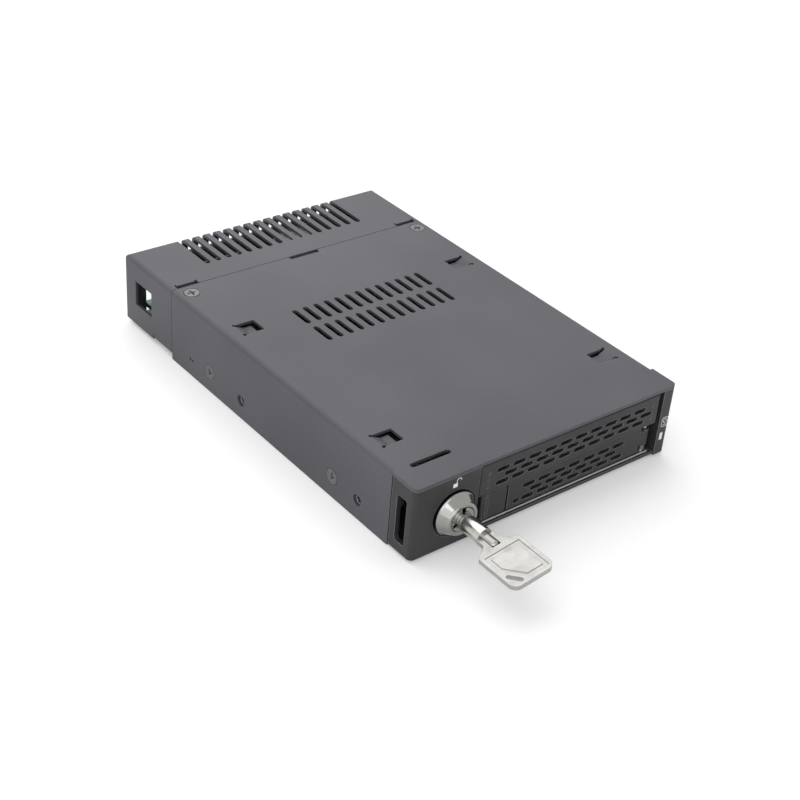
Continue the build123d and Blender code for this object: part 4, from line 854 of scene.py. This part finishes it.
class CAGE_OT_contacts(bpy.types.Operator):
    """Sets the gold contacts in the drive's socket and in the two rear ports."""

    bl_idname = "cage.contacts"
    bl_label = "Set the contacts"

    def execute(self, context):
        sizes, colours = context.scene.cage_sizes, context.scene.cage_colours
        gold = polished_metal("gold_flashed_copper", colours.gold, sizes, 0.22, 0.004)
        pitch = sizes.contact_pitch

        def row(middle, count, pitch, y, z):
            """The middles of a row of contacts."""
            x = middle * MM + (np.arange(count) - (count - 1) / 2) * pitch
            return np.stack([x, np.full(count, y), np.full(count, z * MM)], axis=1)

        # The drive's socket has a row of 15 power contacts and a row of 7 signal contacts
        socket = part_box("drive_socket")[0].y
        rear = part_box("data_port")[1].y
        drive_y, drive_z = socket + 3.1 * MM, 6.07
        rows = np.concatenate([
            row(1.15, 15, pitch, drive_y, drive_z), row(20.9, 7, pitch, drive_y, drive_z),
        ])
        wide = np.array([sizes.contact_width, 3.9 * MM, 0.16 * MM])
        narrow = np.array([0.42 * MM, 5.8 * MM, 0.12 * MM])
        drive = bars(rows, wide, 0.05 * MM)
        power = bars(row(-19.0, 14, pitch, rear - 4.4 * MM, 9.62), wide, 0.05 * MM)
        data = bars(row(14.0, 10, 0.8 * MM, rear - 4.8 * MM, 11.62), narrow, 0.04 * MM)
        for name, grids, slot in (
            ("drive_contacts", drive, "connector_plastic"),
            ("power_contacts", power, "connector_plastic"),
            ("data_contacts", data, "port_shell"),
        ):
            mesh_piece(name, grids, gold, "cage", smooth=50)
        return {"FINISHED"}


class CAGE_OT_boards(bpy.types.Operator):
    """Finishes the boards, the connectors, the small parts and the light pipe."""

    bl_idname = "cage.boards"
    bl_label = "Finish the boards"

    def execute(self, context):
        sizes, colours = context.scene.cage_sizes, context.scene.cage_colours
        dress(laminate(sizes, colours), "backplane_board", "rear_board")
        dress(cast_resin("glass_filled_nylon", colours.housing, sizes, 0.5, 1.2),
              "drive_socket", "board_header", "power_port")
        dress(cast_resin("epoxy_chip_resin", linear("#242426"), sizes, 0.6, 0.5), "board_chip")
        dress(polished_metal("turned_brass", colours.brass, sizes, 0.28, 0.01), "board_standoffs")
        dress(polished_metal("drawn_aluminium", linear("#c3c6c9"), sizes, 0.3, 0.006),
              "board_capacitors")
        dress(milky_acrylic(colours), "light_pipe", "status_lamp")
        return {"FINISHED"}


class CAGE_OT_stage(bpy.types.Operator):
    """Lays the floor, hangs the soft lamps and sets the camera."""

    bl_idname = "cage.stage"
    bl_label = "Set the stage"

    def execute(self, context):
        colours = context.scene.cage_colours
        scene = context.scene
        scene.view_settings.view_transform = "Standard"

        # Matt painted board for a floor, white to the camera and in reflections, and more so
        # far away, where the lamps no longer reach it
        material = bpy.data.materials.new("matt_white_board")
        material.use_nodes = True
        tree = material.node_tree
        tree.nodes.clear()
        place = add(tree, "ShaderNodeTexCoord", out="Object")
        away = add(tree, "ShaderNodeVectorMath", {"operation": "LENGTH"}, {0: place}, "Value")
        white = add(tree, "ShaderNodeMapRange",
                    {"From Min": 0.35, "From Max": 1.1, "To Min": 0.2, "To Max": 0.65},
                    {"Value": away}, "Result")
        strength = add(tree, "ShaderNodeMath", {"operation": "MULTIPLY"},
                       {0: seen_rays(tree), 1: white}, "Value")
        matt = add(tree, "ShaderNodeBsdfDiffuse", {"Color": colours.floor}, out="BSDF")
        glow = add(tree, "ShaderNodeEmission", {"Color": (1, 1, 1, 1)}, {"Strength": strength},
                   "Emission")
        both = add(tree, "ShaderNodeAddShader", links={0: matt, 1: glow}, out="Shader")
        add(tree, "ShaderNodeOutputMaterial", links={"Surface": both})
        reach, level = 1.6, -0.2 * MM
        mesh = bpy.data.meshes.new("floor")
        corners = [(-reach, -reach, level), (reach, -reach, level), (reach, reach, level),
                   (-reach, reach, level)]
        mesh.from_pydata(corners, [], [(0, 1, 2, 3)])
        mesh.materials.append(material)
        floor = bpy.data.objects.new("floor", mesh)
        scene.collection.objects.link(floor)

        # The room: plain light, and white where the camera or a reflection looks past the floor
        world = bpy.data.worlds.new("room")
        scene.world = world
        world.use_nodes = True
        tree = world.node_tree
        tree.nodes.clear()
        strength = add(tree, "ShaderNodeMapRange",
                       {"From Min": 0.0, "From Max": 1.0, "To Min": 0.5, "To Max": 1.0},
                       {"Value": seen_rays(tree)}, "Result")
        sky = add(tree, "ShaderNodeBackground", {"Color": (1, 1, 1, 1)}, {"Strength": strength},
                  "Background")
        add(tree, "ShaderNodeOutputWorld", links={"Surface": sky})

        # Soft lamps: overhead towards the rear, at the left, and a weak one in front. Places and
        # sizes are in metres, powers in watts.
        for name, place, size, power in (
            ("lamp_overhead", (0.05, 0.75, 0.85), 1.8, 12.0),
            ("lamp_left", (-0.95, -0.35, 0.5), 1.0, 2.8),
            ("lamp_front", (-0.4, -0.8, 0.45), 0.7, 2.2),
        ):
            light = bpy.data.lights.new(name, "AREA")
            light.size = size
            light.energy = power
            lamp = bpy.data.objects.new(name, light)
            lamp.location = place
            lamp.rotation_euler = (-Vector(place)).to_track_quat("-Z", "Y").to_euler()
            scene.collection.objects.link(lamp)

        # Camera, from the fit to the case's corners in the photograph: its place in metres, its
        # turns in radians, and its focal length and optical centre in pixels of an 800 pixel frame
        place = (-0.2722335, -0.3266674, 0.2707811)
        yaw, pitch, roll = 0.740235678, 0.593695405, 0.104658038
        focal, centre_x, centre_y, frame_width = 1543.062, 440, 430, 800
        ahead = Vector((np.sin(yaw) * np.cos(pitch), np.cos(yaw) * np.cos(pitch), -np.sin(pitch)))
        right = Vector((np.cos(yaw), -np.sin(yaw), 0.0))
        up = right.cross(ahead)
        across = right * np.cos(roll) + up * np.sin(roll)
        upright = up * np.cos(roll) - right * np.sin(roll)
        lens = bpy.data.cameras.new("camera")
        lens.sensor_width = 36.0
        lens.lens = focal / frame_width * lens.sensor_width
        lens.shift_x = (frame_width / 2 - centre_x) / frame_width
        lens.shift_y = (centre_y - frame_width / 2) / frame_width
        lens.clip_start = 0.01
        camera = bpy.data.objects.new("camera", lens)
        turn = Matrix((across, upright, -ahead)).transposed()
        camera.matrix_world = Matrix.Translation(place) @ turn.to_4x4()
        scene.collection.objects.link(camera)
        scene.camera = camera
        return {"FINISHED"}


OPERATORS = (
    CAGE_OT_case, CAGE_OT_pressings, CAGE_OT_mouldings, CAGE_OT_sheets, CAGE_OT_lock,
    CAGE_OT_screws, CAGE_OT_springs, CAGE_OT_marks, CAGE_OT_contacts, CAGE_OT_boards,
    CAGE_OT_stage,
)


class CAGE_PT_panel(bpy.types.Panel):
    """Lists the cage's operators and their settings."""

    bl_idname = "CAGE_PT_panel"
    bl_label = "Drive Cage"
    bl_space_type = "VIEW_3D"
    bl_region_type = "UI"
    bl_category = "Cage"

    def draw(self, context):
        for group in (context.scene.cage_sizes, context.scene.cage_colours):
            box = self.layout.box()
            for name in group.__annotations__:
                box.prop(group, name)
        for operator in OPERATORS:
            self.layout.operator(operator.bl_idname)


CLASSES = (CageColours, CageSizes, *OPERATORS, CAGE_PT_panel)


def register():
    for item in CLASSES:
        bpy.utils.register_class(item)
    bpy.types.Scene.cage_sizes = PointerProperty(type=CageSizes)
    bpy.types.Scene.cage_colours = PointerProperty(type=CageColours)


def unregister():
    del bpy.types.Scene.cage_colours
    del bpy.types.Scene.cage_sizes
    for item in reversed(CLASSES):
        bpy.utils.unregister_class(item)


def main():
    """Registers the add-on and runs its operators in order."""
    register()
    bpy.ops.cage.case()
    bpy.ops.cage.pressings()
    bpy.ops.cage.mouldings()
    bpy.ops.cage.sheets()
    bpy.ops.cage.lock()
    bpy.ops.cage.screws()
    bpy.ops.cage.springs()
    bpy.ops.cage.marks()
    bpy.ops.cage.contacts()
    bpy.ops.cage.boards()
    bpy.ops.cage.stage()


if __name__ == "__main__":
    main()
